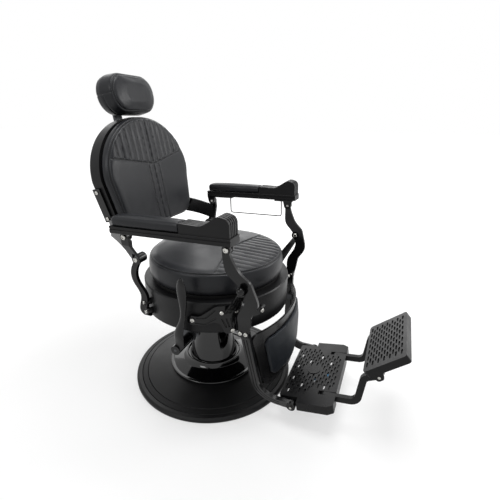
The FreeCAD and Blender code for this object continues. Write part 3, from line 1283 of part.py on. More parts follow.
def make_posts():
    post = bar_loft(post_sections(0.0), SIDE_PLATE)
    for place, radius, x in ((ARM_FRONT_PIVOT, HEAD_EYE_R, POST_TOP_X), (FRONT_PIVOT, POST_EYE_R, PIVOT_X)):
        face = x + SIDE_PLATE / 2
        back = x - SIDE_PLATE / 2
        post = post.fuse(rod_x(radius, -face, -back, place))
        for start, end in ((-face - SIDE_PLATE, -face), (-back, -back + SIDE_PLATE)):
            post = post.cut(rod_x(radius, start, end, place))
        post = post.cut(rod_x(PIN_R, -face - OVERCUT, -back + OVERCUT, place))
    top_pin = pan_screw(PIVOT_HEAD_R, PIVOT_HEAD, PIN_R, SIDE_PLATE + SIDE_GAP + EAR_THICKNESS)
    ball_pin = mirrored(pan_screw(PIVOT_HEAD_R, PIVOT_HEAD, PIN_R, SIDE_PLATE + SIDE_GAP + PIN_SEAT))
    pins = [moved(top_pin, -POST_TOP_X - SIDE_PLATE / 2, *ARM_FRONT_PIVOT),
            moved(ball_pin, SIDE_PLATE / 2 - PIVOT_X, *FRONT_PIVOT)]
    screws = []
    holes = []
    outside = POST_FOOT_X + SIDE_PLATE / 2
    length = SIDE_PLATE + TAB_THICKNESS
    leg_screw = pan_screw(LEG_SCREW_HEAD_R, LEG_SCREW_HEAD, LEG_SCREW_R, length)
    for along in (-LEG_SCREW_SPREAD, LEG_SCREW_SPREAD):
        spot = (POST_FOOT_Y + along, POST_FOOT_Z + LEG_SCREW_RISE)
        screws.append(moved(leg_screw, -outside, *spot))
        holes.append(rod_x(LEG_SCREW_R, -outside - OVERCUT, -outside + length, spot))
        post = post.cut(rod_x(LEG_SCREW_HEAD_R + HEAD_ROOM, -outside - LEG_SCREW_HEAD, -outside, spot))
    post = post.cut(holes)
    save_pair("front_post", post)
    save("post_pivot_screws", both(pins))
    return post, screws, holes


def bar_lean():
    return math.atan2(TAB_X - LEG_PIN_X, POST_FOOT_Z - LEG_PIN[1])


def bar_y(z):
    """Middle of the upright run of the leg bar at a height."""
    return POST_FOOT_Y - BAR_SET - HEEL_FORWARD * (POST_FOOT_Z - z) / (POST_FOOT_Z - LEG_PIN[1])


def make_leg_bars(post, holes):
    lean = bar_lean()
    floor = POST_FOOT_Z - (POST_FOOT_Z - LEG_PIN[1]) / math.cos(lean)
    top = POST_FOOT_Z + BAR_LAP
    path = [(bar_y(top), top, 0), (bar_y(LEG_PIN[1]), floor, HEEL_BEND), (LEG_PIN[0], floor, 0)]
    face = -TAB_X - BAR_THICKNESS / 2
    bar = side_slab(strip_corners(path, BAR_WIDTH), face, face + BAR_THICKNESS)
    groove_path = [(path[0][0], path[0][1] - BAR_GROOVE_START, 0), path[1],
                   (path[2][0] + BAR_GROOVE_STOP, path[2][1], 0)]
    apart = strip_corners(groove_path, BAR_GROOVES_APART)
    for line in (apart[:3], apart[3:]):
        bar = bar.cut(side_slab(strip_corners(line, BAR_GROOVE), face - OVERCUT, face + BAR_GROOVE_DEPTH))
    bar.rotate(Vec(-TAB_X, 0, POST_FOOT_Z), Vec(0, 1, 0), math.degrees(-lean))
    rear = POST_FOOT_Y - TAB_HALF
    front = POST_FOOT_Y + TAB_HALF
    tab_floor = POST_FOOT_Z - TAB_DROP
    tab_top = POST_FOOT_Z + TAB_RISE
    tab = side_slab([(rear, tab_floor, TAB_ROUND), (rear, tab_top, TAB_ROUND), (front, tab_top, TAB_ROUND),
                     (front, tab_floor, TAB_ROUND)], -TAB_X - TAB_THICKNESS / 2, -TAB_X + TAB_THICKNESS / 2)
    outside = block((-TAB_X - TAB_ROOM, -TAB_X - TAB_THICKNESS / 2),
                    (POST_FOOT_Y - TAB_ROOM, POST_FOOT_Y + TAB_ROOM),
                    (POST_FOOT_Z - FIT, POST_FOOT_Z + TAB_ROOM))
    bar = bar.fuse(tab).cut(outside).cut(post)
    ends = (-LEG_PIN_X - BAR_END, -LEG_PIN_X + BAR_END)
    bar = bar.fuse(rod_x(BAR_EYE_R, ends[0], ends[1], LEG_PIN))
    bar = bar.cut(rod_x(PIN_R, ends[0] - BAR_END, ends[1] + BAR_END, LEG_PIN)).removeSplitter()
    return bar.cut(holes)


def calf_radius():
    half = calf_half(CALF_TOP, CALF_MARGIN)
    return (half ** 2 + CALF_SAG ** 2) / (2 * CALF_SAG)


def calf_tube(front):
    """Upright round bar whose front stands at the given place; the calf panels are slices of it."""
    radius = calf_radius() - (front - CALF_FRONT)
    return rod_z(radius, CALF_FLOOR - CALF_ROOM, CALF_TOP + CALF_ROOM, (0, CALF_FRONT + calf_radius()))


def calf_band(front, thickness):
    return calf_tube(front).cut(calf_tube(front + thickness))


def calf_half(z, margin):
    """Half width of the calf panel between the leaning bars."""
    top = TAB_X - margin
    return top - (POST_FOOT_Z - z) * math.tan(bar_lean())


def calf_window(inset, crown):
    top = CALF_TOP - inset
    floor = CALF_FLOOR + inset
    wide = calf_half(top, CALF_MARGIN + inset)
    narrow = calf_half(floor, CALF_MARGIN + inset)
    corners = [(-narrow, floor, CALF_LOW_ROUND), (0, floor - crown, CALF_ARCH_R),
               (narrow, floor, CALF_LOW_ROUND), (wide, top, CALF_HIGH_ROUND),
               (0, top + crown, CALF_ARCH_R), (-wide, top, CALF_HIGH_ROUND)]
    return slab(corners, front_plane(CALF_FRONT - CALF_ROOM), Vec(0, 2 * CALF_ROOM + CALF_SAG, 0))


def make_calf(bar):
    shell = calf_band(CALF_FRONT, CALF_THICKNESS).common(calf_window(0.0, CALF_ARCH))
    pad_front = CALF_FRONT + CALF_RECESS - CALF_PAD_DEPTH
    pad = calf_band(pad_front, CALF_PAD_DEPTH).common(calf_window(CALF_PAD_INSET, CALF_PAD_ARCH))
    recess = calf_band(pad_front, CALF_PAD_DEPTH).common(calf_window(CALF_PAD_INSET - FIT, CALF_PAD_ARCH))
    behind = calf_tube(CALF_FRONT + CALF_THICKNESS + FIT)
    clips = []
    for z in (CALF_FLOOR + CLIP_INSET, CALF_TOP - CLIP_INSET):
        inner = calf_half(z, CALF_MARGIN) - CLIP_REACH
        clip = block((-calf_half(z, 0.0), -inner), (CALF_FRONT, bar_y(z)), (z - CLIP_HALF, z + CLIP_HALF))
        clips.append(clip.common(behind).cut(bar))
    save("calf_shell", shell.cut(recess))
    save("calf_pad", pad)
    return clips


def make_leg_rest():
    post, screws, holes = make_posts()
    bar = make_leg_bars(post, holes)
    save_pair("leg_bar", bar)
    save("leg_bar_screws", both(screws))
    save("calf_clips", both(make_calf(bar)))


# Footrest: slotted footplate on the leg pins, two bent arms and the slotted toe plate
PLATE_TOP_SKIN = 8.0
PLATE_RIM = 8.0
PLATE_ROUND = 8.0
HOLLOW_ROUND = 6.0
HEEL_REACH = 50.0
STEP_ROOM = 7.0
NOSE_BACK = 22.0
NOSE_CUT = 14.0
PIN_BOSS_R = PIN_R + 8.0
PIN_BOSS_DEPTH = 12.0
PIN_BITE = 10.0
PIN_END = 6.0
POCKET_BACK = 20.0
POCKET_ROUND = 4.0
DISC_R = 26.0
DISC_FORWARD = 22.0
DISC_RISE = 2.0
DISC_CLEAR = 38.0
POCKET_CLEAR = 32.0
POCKET_STEPS = (0.0, 30.0, 60.0)
BUFFER_HALF = 20.0
BUFFER_START = 40.0
BUFFER_DROP = 3.0
BUFFER_ROUND = 4.0
CELL_LENGTH = 30.0
CELL_WIDTH = 7.0
CELL_POINT = 5.0
CELL_PITCH = 38.0
CELL_DEPTH = 4.0
ROW_PITCH = 11.0
OPEN_ROWS = 4
TOE_ARM_THICKNESS = 18.0
TOE_ARM_WIDTH = 24.0
TOE_THICKNESS = 28.0
TOE_REAR_ROUND = 14.0
TOE_FRONT_ROUND = 10.0
TOE_HINGE = (36.0, -42.0)
TOE_SLOT_HALF = TOE_ARM_THICKNESS / 2 + SIDE_GAP
LUG_THICKNESS = 9.0
LUG_LAP = 2.0
LUG_BACK = 22.0
LUG_AHEAD = 34.0
LUG_EYE_R = 12.0
LUG_ROUND = 10.0

# Toe arm from its pin: forwards, upwards and bend radius
TOE_ARM_LINE = ((0.0, 0.0, 0), (118.0, 18.0, 34.0), (130.0, 130.0, 26.0), (178.0, 156.0, 0))

def foot_placed(shape):
    copy = shape.copy()
    copy.rotate(Vec(0, LEG_PIN[0], LEG_PIN[1]), X_AXIS, -FOOT_TILT)
    return copy


def foot_spot(u, h):
    """World place (y, z) of a point of the tilted footplate."""
    angle = math.radians(FOOT_TILT)
    forward = u * math.cos(angle) - h * math.sin(angle)
    up = u * math.sin(angle) + h * math.cos(angle)
    return (LEG_PIN[0] - forward, LEG_PIN[1] + up)


def cell(x, u, origin, h_range):
    """Pointed oblong cutter that runs across a plate."""
    tip = CELL_LENGTH / 2
    flat = tip - CELL_POINT
    half = CELL_WIDTH / 2
    corners = [(x - tip, u, 0), (x - flat, u + half, 0), (x + flat, u + half, 0), (x + tip, u, 0),
               (x + flat, u - half, 0), (x - flat, u - half, 0)]
    return plan_slab(corners, origin, h_range)


def lattice(half_width, u_range, top, origin, keep_clear, with_holes):
    """Staggered blind cells, some open right through; spots near a keep-clear circle are left solid."""
    cutters = []
    rows = int((u_range[1] - u_range[0]) / ROW_PITCH)
    columns = int(half_width / CELL_PITCH)
    for row in range(rows):
        u = u_range[0] + ROW_PITCH * (row + 0.5)
        shift = CELL_PITCH / 2 if row % 2 else 0.0
        for column in range(-columns - 1, columns + 1):
            x = column * CELL_PITCH + shift
            near = any(math.hypot(x - cx, u - cu) < radius for cx, cu, radius in keep_clear)
            if near or abs(x) + CELL_LENGTH / 2 > half_width:
                continue
            through = with_holes and row % OPEN_ROWS == 1 and column % 2 == row // OPEN_ROWS % 2
            depth = PLATE_TOP_SKIN + OVERCUT if through else CELL_DEPTH
            cutters.append(cell(x, u, origin, (top - depth, top + OVERCUT)))
    return cutters


def plan_slab(corners, origin, h_range):
    """Plate of a plan outline of (x, u, radius) with u measured forward from the origin."""
    flat = [(x, origin[0] - u, radius) for x, u, radius in corners]
    return slab(flat, floor_plane(origin[1] + h_range[0]), Vec(0, 0, h_range[1] - h_range[0]))


def foot_plan(narrow, wide, rear, step, front, nose_back, nose_cut, corner):
    """Outline of the footplate, narrow between the leg bars and wide in front of them."""
    side = [(narrow, rear, corner), (narrow, step, 0), (wide, step, 0), (wide, front - nose_back, corner),
            (wide - nose_cut, front, corner)]
    return side + [(-x, u, radius) for x, u, radius in side[::-1]]


def toe_pocket(centre, half, rear, front, h_range, corner=0.0):
    """Upright block round one toe arm at the front of the footplate."""
    corners = [(centre - half, rear, corner), (centre + half, rear, corner), (centre + half, front, 0),
               (centre - half, front, 0)]
    return plan_slab(corners, LEG_PIN, h_range)


def make_footplate():
    narrow = LEG_PIN_X - BAR_END - SIDE_GAP
    inner = narrow - PLATE_RIM
    wide = FOOT_WIDTH / 2
    rear = -HEEL_REACH
    step = BAR_WIDTH / 2 + STEP_ROOM
    front = FOOT_DEPTH - HEEL_REACH
    skin_floor = FOOT_TOP - PLATE_TOP_SKIN
    plan = foot_plan(narrow, wide, rear, step, front, NOSE_BACK, NOSE_CUT, PLATE_ROUND)
    hollow = foot_plan(inner, wide - PLATE_RIM, rear + PLATE_RIM, step + PLATE_RIM, front - PLATE_RIM,
                       NOSE_BACK, NOSE_CUT, HOLLOW_ROUND)
    plate = plan_slab(plan, LEG_PIN, (FOOT_FLOOR, FOOT_TOP))
    plate = plate.cut(plan_slab(hollow, LEG_PIN, (FOOT_FLOOR - OVERCUT, skin_floor)))
    disc_u = step + DISC_FORWARD
    disc_z = LEG_PIN[1] + FOOT_TOP
    plate = plate.fuse(rod_z(DISC_R, disc_z - OVERCUT, disc_z + DISC_RISE, (0, LEG_PIN[0] - disc_u)))
    pocket_rear = TOE_PIN_FOOT[0] - POCKET_BACK
    pin_place = (LEG_PIN[0] - TOE_PIN_FOOT[0], LEG_PIN[1] + TOE_PIN_FOOT[1])
    clear = [(0.0, disc_u, DISC_CLEAR)]
    cuts = []
    foot_pins = []
    toe_pins = []
    for sign in (1, -1):
        centre = sign * TOE_ARM_X
        plate = plate.fuse(toe_pocket(centre, TOE_SLOT_HALF + PLATE_RIM, pocket_rear - PLATE_RIM,
                                      front - OVERCUT, (FOOT_FLOOR, FOOT_TOP - OVERCUT)))
        boss = sorted((sign * narrow, sign * (inner - PIN_BOSS_DEPTH)))
        plate = plate.fuse(rod_x(PIN_BOSS_R, boss[0], boss[1], LEG_PIN))
        cuts.append(toe_pocket(centre, TOE_SLOT_HALF, pocket_rear, front + OVERCUT,
                               (FOOT_FLOOR - OVERCUT, FOOT_TOP + OVERCUT), POCKET_ROUND))
        clear += [(centre, pocket_rear + reach, POCKET_CLEAR) for reach in POCKET_STEPS]
        ends = sorted((sign * (inner - PIN_BITE), sign * (LEG_PIN_X + BAR_END + PIN_END)))
        foot_pins.append(rod_x(PIN_R - FIT, ends[0], ends[1], LEG_PIN))
        reach = TOE_SLOT_HALF + PIN_END
        toe_pins.append(rod_x(PIN_R, centre - reach, centre + reach, pin_place))
    cuts += foot_pins + toe_pins
    cuts += lattice(inner, (rear + PLATE_RIM, front - PLATE_RIM), FOOT_TOP, LEG_PIN, clear, True)
    buffer_rear = rear + BUFFER_START
    buffer_front = front - PLATE_RIM
    corners = [(-BUFFER_HALF, buffer_rear, BUFFER_ROUND), (BUFFER_HALF, buffer_rear, BUFFER_ROUND),
               (BUFFER_HALF, buffer_front, BUFFER_ROUND), (-BUFFER_HALF, buffer_front, BUFFER_ROUND)]
    save("footplate", foot_placed(plate.cut(cuts)))
    save("foot_pins", [foot_placed(p) for p in foot_pins])
    save("toe_arm_pins", [foot_placed(p) for p in toe_pins])
    save("foot_buffer", foot_placed(plan_slab(corners, LEG_PIN, (FOOT_FLOOR - BUFFER_DROP, skin_floor))))


def toe_arm_path():
    start = foot_spot(*TOE_PIN_FOOT)
    return [(start[0] - u, start[1] + v, bend) for u, v, bend in TOE_ARM_LINE]


def toe_arm(path):
    half = TOE_ARM_THICKNESS / 2
    start = -TOE_ARM_X - half
    end = -TOE_ARM_X + half
    arm = side_slab(strip_corners(path, TOE_ARM_WIDTH), start, end)
    pivots = ((path[0][:2], TOE_ARM_WIDTH / 2 - 1.0), (path[-1][:2], TOE_ARM_WIDTH / 2))
    for place, radius in pivots:
        arm = arm.fuse(rod_x(radius, start, end, place))
    holes = [rod_x(PIN_R + FIT, start - OVERCUT, end + OVERCUT, place) for place, radius in pivots]
    return arm.cut(holes).removeSplitter()


def make_toe():
    path = toe_arm_path()
    hinge_y, hinge_z = path[-1][:2]
    hinge = (hinge_y, hinge_z)
    origin = (hinge_y + TOE_HINGE[0], hinge_z - TOE_HINGE[1])
    wide = TOE_WIDTH / 2
    inner = wide - PLATE_RIM
    front = TOE_DEPTH - PLATE_RIM
    plan = [(-wide, 0, TOE_REAR_ROUND), (wide, 0, TOE_REAR_ROUND), (wide, TOE_DEPTH, TOE_FRONT_ROUND),
            (-wide, TOE_DEPTH, TOE_FRONT_ROUND)]
    hollow = [(-inner, PLATE_RIM, HOLLOW_ROUND), (inner, PLATE_RIM, HOLLOW_ROUND),
              (inner, front, HOLLOW_ROUND), (-inner, front, HOLLOW_ROUND)]
    plate = plan_slab(plan, origin, (-TOE_THICKNESS, 0.0))
    plate = plate.cut(plan_slab(hollow, origin, (-TOE_THICKNESS - OVERCUT, -PLATE_TOP_SKIN)))
    plate = plate.cut(lattice(inner, (PLATE_RIM, front), 0.0, origin, [], False))
    lug_top = origin[1] - PLATE_TOP_SKIN + LUG_LAP
    lug_floor = hinge_z - LUG_EYE_R
    lug_corners = [(hinge_y + LUG_BACK, lug_top, 0), (hinge_y + LUG_EYE_R, lug_floor, LUG_ROUND),
                   (hinge_y - LUG_EYE_R, lug_floor, LUG_ROUND), (hinge_y - LUG_AHEAD, lug_top, 0)]
    pins = []
    for sign in (1, -1):
        centre = sign * TOE_ARM_X
        outer = TOE_SLOT_HALF + LUG_THICKNESS
        for start, end in ((-outer, -TOE_SLOT_HALF), (TOE_SLOT_HALF, outer)):
            plate = plate.fuse(side_slab(lug_corners, centre + start, centre + end))
        pins.append(rod_x(PIN_R, centre - outer, centre + outer, hinge))
        plate = plate.cut(pins[-1])
        plate = plate.cut(block((centre - TOE_SLOT_HALF, centre + TOE_SLOT_HALF),
                                (origin[0] - PLATE_RIM - OVERCUT, origin[0] + OVERCUT),
                                (origin[1] - TOE_THICKNESS - OVERCUT, origin[1] - PLATE_TOP_SKIN)))
    turned = []
    for shape in [plate.removeSplitter()] + pins:
        shape.rotate(Vec(0, hinge_y, hinge_z), X_AXIS, -TOE_TILT)
        turned.append(shape)
    save("toe_arms", both([toe_arm(path)]))
    save("toe_plate", turned[0])
    save("toe_plate_bolts", turned[1:])


make_base()
make_lift()
make_seat_core()
casting_bolts, casting_holes = make_castings()
post_bolts, post_holes = make_rear_posts()
side_holes = casting_holes + post_holes
make_seat_round(side_holes + [mirrored(h) for h in side_holes])
save("side_bolts", both(casting_bolts + post_bolts))
make_lever()
make_back()
make_headrest()
make_arms()
make_leg_rest()
make_footplate()
make_toe()
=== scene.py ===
import json
import math

import bmesh
import bpy
import numpy as np
from bpy.props import FloatProperty, FloatVectorProperty, PointerProperty
from mathutils import Matrix, Vector
from mathutils.bvhtree import BVHTree
from mathutils.geometry import convex_hull_2d


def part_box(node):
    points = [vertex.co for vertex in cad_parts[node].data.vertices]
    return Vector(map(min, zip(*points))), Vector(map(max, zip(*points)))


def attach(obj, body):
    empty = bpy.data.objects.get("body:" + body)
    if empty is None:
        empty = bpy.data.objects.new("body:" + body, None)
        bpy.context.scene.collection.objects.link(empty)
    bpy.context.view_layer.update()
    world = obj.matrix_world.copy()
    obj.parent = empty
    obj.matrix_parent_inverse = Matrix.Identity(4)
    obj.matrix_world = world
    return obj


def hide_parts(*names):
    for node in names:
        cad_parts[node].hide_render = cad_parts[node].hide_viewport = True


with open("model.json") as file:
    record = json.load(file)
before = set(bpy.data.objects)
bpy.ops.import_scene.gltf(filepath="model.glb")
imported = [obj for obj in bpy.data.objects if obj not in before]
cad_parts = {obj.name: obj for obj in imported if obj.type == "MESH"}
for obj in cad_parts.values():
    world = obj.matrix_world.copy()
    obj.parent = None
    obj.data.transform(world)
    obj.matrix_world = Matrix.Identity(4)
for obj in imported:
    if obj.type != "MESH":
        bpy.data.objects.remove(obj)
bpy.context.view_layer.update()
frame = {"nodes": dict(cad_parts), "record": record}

bl_info = {
    "name": "Barber Chair Dressing",
    "version": (1, 0, 0),
    "blender": (4, 5, 0),
    "location": "View3D > Sidebar > Barber Chair",
    "description": "Upholstery, finishes and a plain studio for a reclining barber chair",
    "category": "Object",
}

MM = 0.001
SLOT_OF = {part["node"]: part["material_slot"] for part in frame["record"]["subparts"]}
# Ways in the chair's frame, where the chair faces -Y and its left is +X
DOWNWARD = (0, 0, -1)
FORWARD = (0, -1, 0)
BACKWARD = (0, 1, 0)


def linear(code):
    """Linear colour of an sRGB hex code such as #1b1c1e."""
    channels = [int(code[i:i + 2], 16) / 255 for i in (1, 3, 5)]
    return tuple(c / 12.92 if c <= 0.04045 else ((c + 0.055) / 1.055) ** 2.4 for c in channels)


def tone(name, description, code):
    """Colour property, given as a hex code."""
    return FloatVectorProperty(name=name, description=description, subtype="COLOR", size=3, min=0, max=1,
                               default=linear(code))


def length(name, description, millimetres):
    """Length property, given in millimetres."""
    return FloatProperty(name=name, description=description, unit="LENGTH", default=millimetres * MM)


def angle(name, description, degrees):
    """Angle property, given in degrees."""
    return FloatProperty(name=name, description=description, subtype="ANGLE", default=math.radians(degrees))


def power(name, description, watts):
    """Power property of a softbox, given in watts."""
    return FloatProperty(name=name, description=description, unit="POWER", default=watts)


def strength(name, description, level):
    """Strength property of the sky, where 1 is white."""
    return FloatProperty(name=name, description=description, default=level)


class ChairFinishes(bpy.types.PropertyGroup):
    """Colours of the chair's materials."""
    leather: tone("Leather", "Black grained upholstery", "#212225")
    slate: tone("Calf leather", "Dark slate upholstery of the calf pad", "#1d2126")
    powder: tone("Powder coat", "Satin black of the base and drum", "#141415")
    gloss: tone("Gloss enamel", "Gloss black of the linkage", "#0c0c0d")
    mirror: tone("Pump enamel", "Polished black of the pump cover", "#060607")
    cast: tone("Cast enamel", "Black enamel on the cast footplates", "#121213")
    plastic: tone("Arm plastic", "Moulded black of the arm rails and grips", "#111112")
    shell: tone("Shell plastic", "Moulded black of the back shell and calf panel", "#131314")
    thread: tone("Thread", "Sewing thread", "#3a3c40")
    plating: tone("Plating", "Bright plated screws and ram", "#b4b3af")
    steel: tone("Steel", "Oiled plain steel", "#4a4b4d")
    # Near-black partly as the board's own stain, partly as painted shade in the gap under the cushions
    ply: tone("Plywood", "Black-stained board under the cushions", "#0f0f0f")
    rubber: tone("Rubber", "Black foot ring", "#121212")
    buffer: tone("Buffer", "Blue rubber buffer under the footplate", "#3f7ea8")


class ChairUpholstery(bpy.types.PropertyGroup):
    """Sizes of the sewing and padding."""
    rib_pitch: length("Rib pitch", "Distance between two sewn ribs", 31)
    rib_depth: length("Rib depth", "Depth of the valley between two ribs", 3.4)
    seam_depth: length("Seam depth", "How far a seam pulls into the padding", 2.8)
    seam_width: length("Seam width", "Half width of the hollow along a seam", 2.9)
    row_offset: length("Row offset", "Distance of a stitch row from its seam", 5)
    stitch_pitch: length("Stitch pitch", "Distance between two stitches", 6.5)
    stitch_length: length("Stitch length", "Length of one stitch", 4.6)
    thread_radius: length("Thread radius", "Radius of the sewing thread, drawn coarse enough to show", 0.8)
    grain: length("Leather grain", "Width of one grain cell, drawn coarser than life so that it shows", 2.4)


class ChairStage(bpy.types.PropertyGroup):
    """Camera and light levels."""
    lens: length("Lens", "Focal length on a 36 mm sensor", 25.19)
    yaw: angle("Yaw", "Turn of the camera about the upright axis", -67.25)
    pitch: angle("Pitch", "How far the camera looks down", 20.73)
    roll: angle("Roll", "Turn of the camera about its own axis", 0.49)
    camera_x: length("Camera X", "Place of the camera to the chair's left", -1193)
    camera_y: length("Camera Y", "Place of the camera behind the chair", -678)
    camera_z: length("Camera Z", "Height of the camera", 1095)
    key_power: power("Key power", "Power of the softbox at the front left", 26)
    top_power: power("Top power", "Power of the overhead softbox", 42)
    rim_power: power("Rim power", "Power of the wide softbox at the rear left", 42)
    side_power: power("Side power", "Power of the small softbox at the rear right", 18)
    sky_top: strength("Sky top", "Strength of the soft light from above", 0.5)
    sky_side: strength("Sky side", "Strength of the soft light from the sides", 0.16)


def finishes():
    return bpy.context.scene.chair_finishes


def upholstery():
    return bpy.context.scene.chair_upholstery


def add_node(tree, kind, inputs=None, **settings):
    """One node with its settings; an input takes a value or another node's output."""
    node = tree.nodes.new(kind)
    for name, value in settings.items():
        setattr(node, name, value)
    for key, value in (inputs or {}).items():
        if isinstance(value, bpy.types.NodeSocket):
            tree.links.new(value, node.inputs[key])
        else:
            node.inputs[key].default_value = value
    return node


# Slow drift of colour and polish over every surface
DRIFT_SIZE = 60 * MM
DRIFT_DETAIL = 3.0
DRIFT_LOW = 0.3
DRIFT_HIGH = 0.7
RELIEF_DETAIL = 4.0
# Painted shade at the bottom of a seam: the share of the colour that is left there
SEAM_SHADE_SHARE = 0.15


def surface(name, coat, colour, grain, relief, shade, polish, cells=False):
    """Material with a fine relief, a slow drift of colour and an uneven polish, on object coordinates.

    The width of the grain and the depth of its relief are in millimetres. The shade is the share of the
    colour in dark patches, and the polish is the roughness of the brightest and the dullest patches. Sewn
    pieces carry a painted seam shade value at each point, where the colour is darkened as painted shade.
    """
    material = bpy.data.materials.new(name)
    material.use_nodes = True
    tree = material.node_tree
    tree.nodes.clear()
    place = add_node(tree, "ShaderNodeTexCoord").outputs["Object"]
    patches = {"Vector": place, "Scale": 1 / DRIFT_SIZE, "Detail": DRIFT_DETAIL}
    drift = add_node(tree, "ShaderNodeTexNoise", patches).outputs["Fac"]
    pattern = {"Vector": place, "Scale": 1 / (grain * MM)}
    if cells:
        height = add_node(tree, "ShaderNodeTexVoronoi", pattern, feature="SMOOTH_F1").outputs["Distance"]
    else:
        height = add_node(tree, "ShaderNodeTexNoise", {**pattern, "Detail": RELIEF_DETAIL}).outputs["Fac"]
    bump = add_node(tree, "ShaderNodeBump", {"Height": height, "Strength": 1.0, "Distance": relief * MM})
    rough = add_node(tree, "ShaderNodeMapRange", {
        "Value": drift, "From Min": DRIFT_LOW, "From Max": DRIFT_HIGH,
        "To Min": polish[0], "To Max": polish[1]})
    dark = (*(c * shade for c in colour), 1)
    paint = add_node(tree, "ShaderNodeMix", {"Factor": drift, "A": dark, "B": (*colour, 1)}, data_type="RGBA")
    # Painted shade: the colour is darkened towards the bottom of each seam, where shade falls
    crease = add_node(tree, "ShaderNodeAttribute", attribute_name="crease").outputs["Fac"]
    deep = (*(c * SEAM_SHADE_SHARE for c in colour), 1)
    seam_shaded = add_node(tree, "ShaderNodeMix", {"Factor": crease, "A": paint.outputs["Result"], "B": deep},
                      data_type="RGBA")
    shader = add_node(tree, "ShaderNodeBsdfPrincipled", {
        "Base Color": seam_shaded.outputs["Result"], "Roughness": rough.outputs["Result"],
        "Normal": bump.outputs["Normal"], **coat})
    add_node(tree, "ShaderNodeOutputMaterial", {"Surface": shader.outputs["BSDF"]})
    return material


# Black finishes on a white ground: the index is typical, and the reflection is held down as on the object
PLAIN = {"IOR": 1.5}
HIDE = {**PLAIN, "Specular IOR Level": 0.2}
DULL_COAT = {**PLAIN, "Specular IOR Level": 0.18}
BRIGHT_COAT = {**PLAIN, "Specular IOR Level": 0.28}
POLISHED_COAT = {**PLAIN, "Specular IOR Level": 0.5}
METAL = {"Metallic": 1.0}
MATERIALS = {}


def make_materials():
    """One material for each slot of the record, with the pump cover's enamel and the sewing thread."""
    tones = finishes()
    pebble = upholstery().grain / MM
    return {
        # Coated hide: soft broad highlights broken by a pebble grain
        "leather": surface("grained_leather", HIDE, tones.leather, grain=pebble, relief=0.16, shade=0.8,
                           polish=(0.31, 0.41), cells=True),
        "leather_slate": surface("slate_leather", HIDE, tones.slate, grain=pebble, relief=0.16, shade=0.85,
                                 polish=(0.42, 0.52), cells=True),
        # Baked powder: even satin with a faint orange peel
        "enamel_satin": surface("powder_coated_steel", DULL_COAT, tones.powder, grain=1.6, relief=0.03,
                                shade=0.85, polish=(0.36, 0.44)),
        "wire_enamel": surface("coated_wire", DULL_COAT, tones.powder, grain=1.5, relief=0.02, shade=0.9,
                               polish=(0.36, 0.42)),
        # Sprayed enamel: dark and mirror-like with slow ripples
        "enamel_gloss": surface("gloss_enamel", BRIGHT_COAT, tones.gloss, grain=9.0, relief=0.03, shade=0.85,
                                polish=(0.15, 0.22)),
        "pump_enamel": surface("polished_enamel", POLISHED_COAT, tones.mirror, grain=40.0, relief=0.02,
                               shade=0.9, polish=(0.05, 0.09)),
        # Enamel over sand-cast metal: slightly pitted, with polished high spots
        "enamel_cast": surface("enamelled_casting", DULL_COAT, tones.cast, grain=3.0, relief=0.12, shade=0.8,
                               polish=(0.26, 0.4)),
        # Injection-moulded plastic: fine spark texture and a dull sheen, brighter where it is polished
        "arm_plastic": surface("moulded_plastic", DULL_COAT, tones.plastic, grain=1.2, relief=0.03, shade=0.9,
                               polish=(0.4, 0.48)),
        "shell_satin": surface("moulded_shell", DULL_COAT, tones.shell, grain=1.2, relief=0.03, shade=0.9,
                               polish=(0.38, 0.46)),
        "shell_gloss": surface("polished_shell", BRIGHT_COAT, tones.shell, grain=12.0, relief=0.02, shade=0.9,
                               polish=(0.2, 0.28)),
        # Nickel and chrome plate: bright, with a light haze of handling
        "chrome": surface("bright_plating", METAL, tones.plating, grain=2.0, relief=0.01, shade=0.92,
                          polish=(0.14, 0.24)),
        # Plain steel under oil: grey, with a soft sheen and a fine grit
        "steel": surface("oiled_steel", METAL, tones.steel, grain=1.0, relief=0.02, shade=0.85,
                         polish=(0.3, 0.42)),
        # Black-stained board: dull, with an uneven stain; near-black partly as its own stain, partly as
        # painted shade in the gap under the cushions
        "plywood": surface("birch_plywood", DULL_COAT, tones.ply, grain=2.0, relief=0.05, shade=0.7,
                           polish=(0.6, 0.7)),
        # Moulded rubber: matt, with slightly paler patches
        "rubber_black": surface("moulded_rubber", PLAIN, tones.rubber, grain=1.5, relief=0.05, shade=0.8,
                                polish=(0.62, 0.74)),
        "rubber_blue": surface("blue_rubber", PLAIN, tones.buffer, grain=1.5, relief=0.05, shade=0.8,
                               polish=(0.5, 0.6)),
        # Bonded polyester: dull twisted filament
        "thread": surface("bonded_thread", PLAIN, tones.thread, grain=0.6, relief=0.1, shade=0.7,
                          polish=(0.5, 0.6)),
    }


def material_for(slot):
    """The scene's material for a slot of the record; the whole set is made on first use."""
    if not MATERIALS:
        MATERIALS.update(make_materials())
    return MATERIALS[slot]


def linked(name, data):
    """New object of the scene that shows a mesh, a lamp or a camera."""
    thing = bpy.data.objects.new(name, data)
    bpy.context.scene.collection.objects.link(thing)
    return thing


def baked(thing):
    """The object with its modifiers worked into a plain mesh."""
    bpy.context.view_layer.update()
    seen = thing.evaluated_get(bpy.context.evaluated_depsgraph_get())
    mesh = bpy.data.meshes.new_from_object(seen)
    old = thing.data
    thing.modifiers.clear()
    thing.data = mesh
    bpy.data.meshes.remove(old)
    return thing


def points_of(thing, field="co"):
    """Places or normals of an object's points, one row each."""
    values = np.zeros(len(thing.data.vertices) * 3, np.float32)
    thing.data.vertices.foreach_get(field, values)
    return values.reshape(-1, 3).astype(float)


def set_points(thing, points):
    thing.data.vertices.foreach_set("co", points.astype(np.float32).ravel())
    thing.data.update()


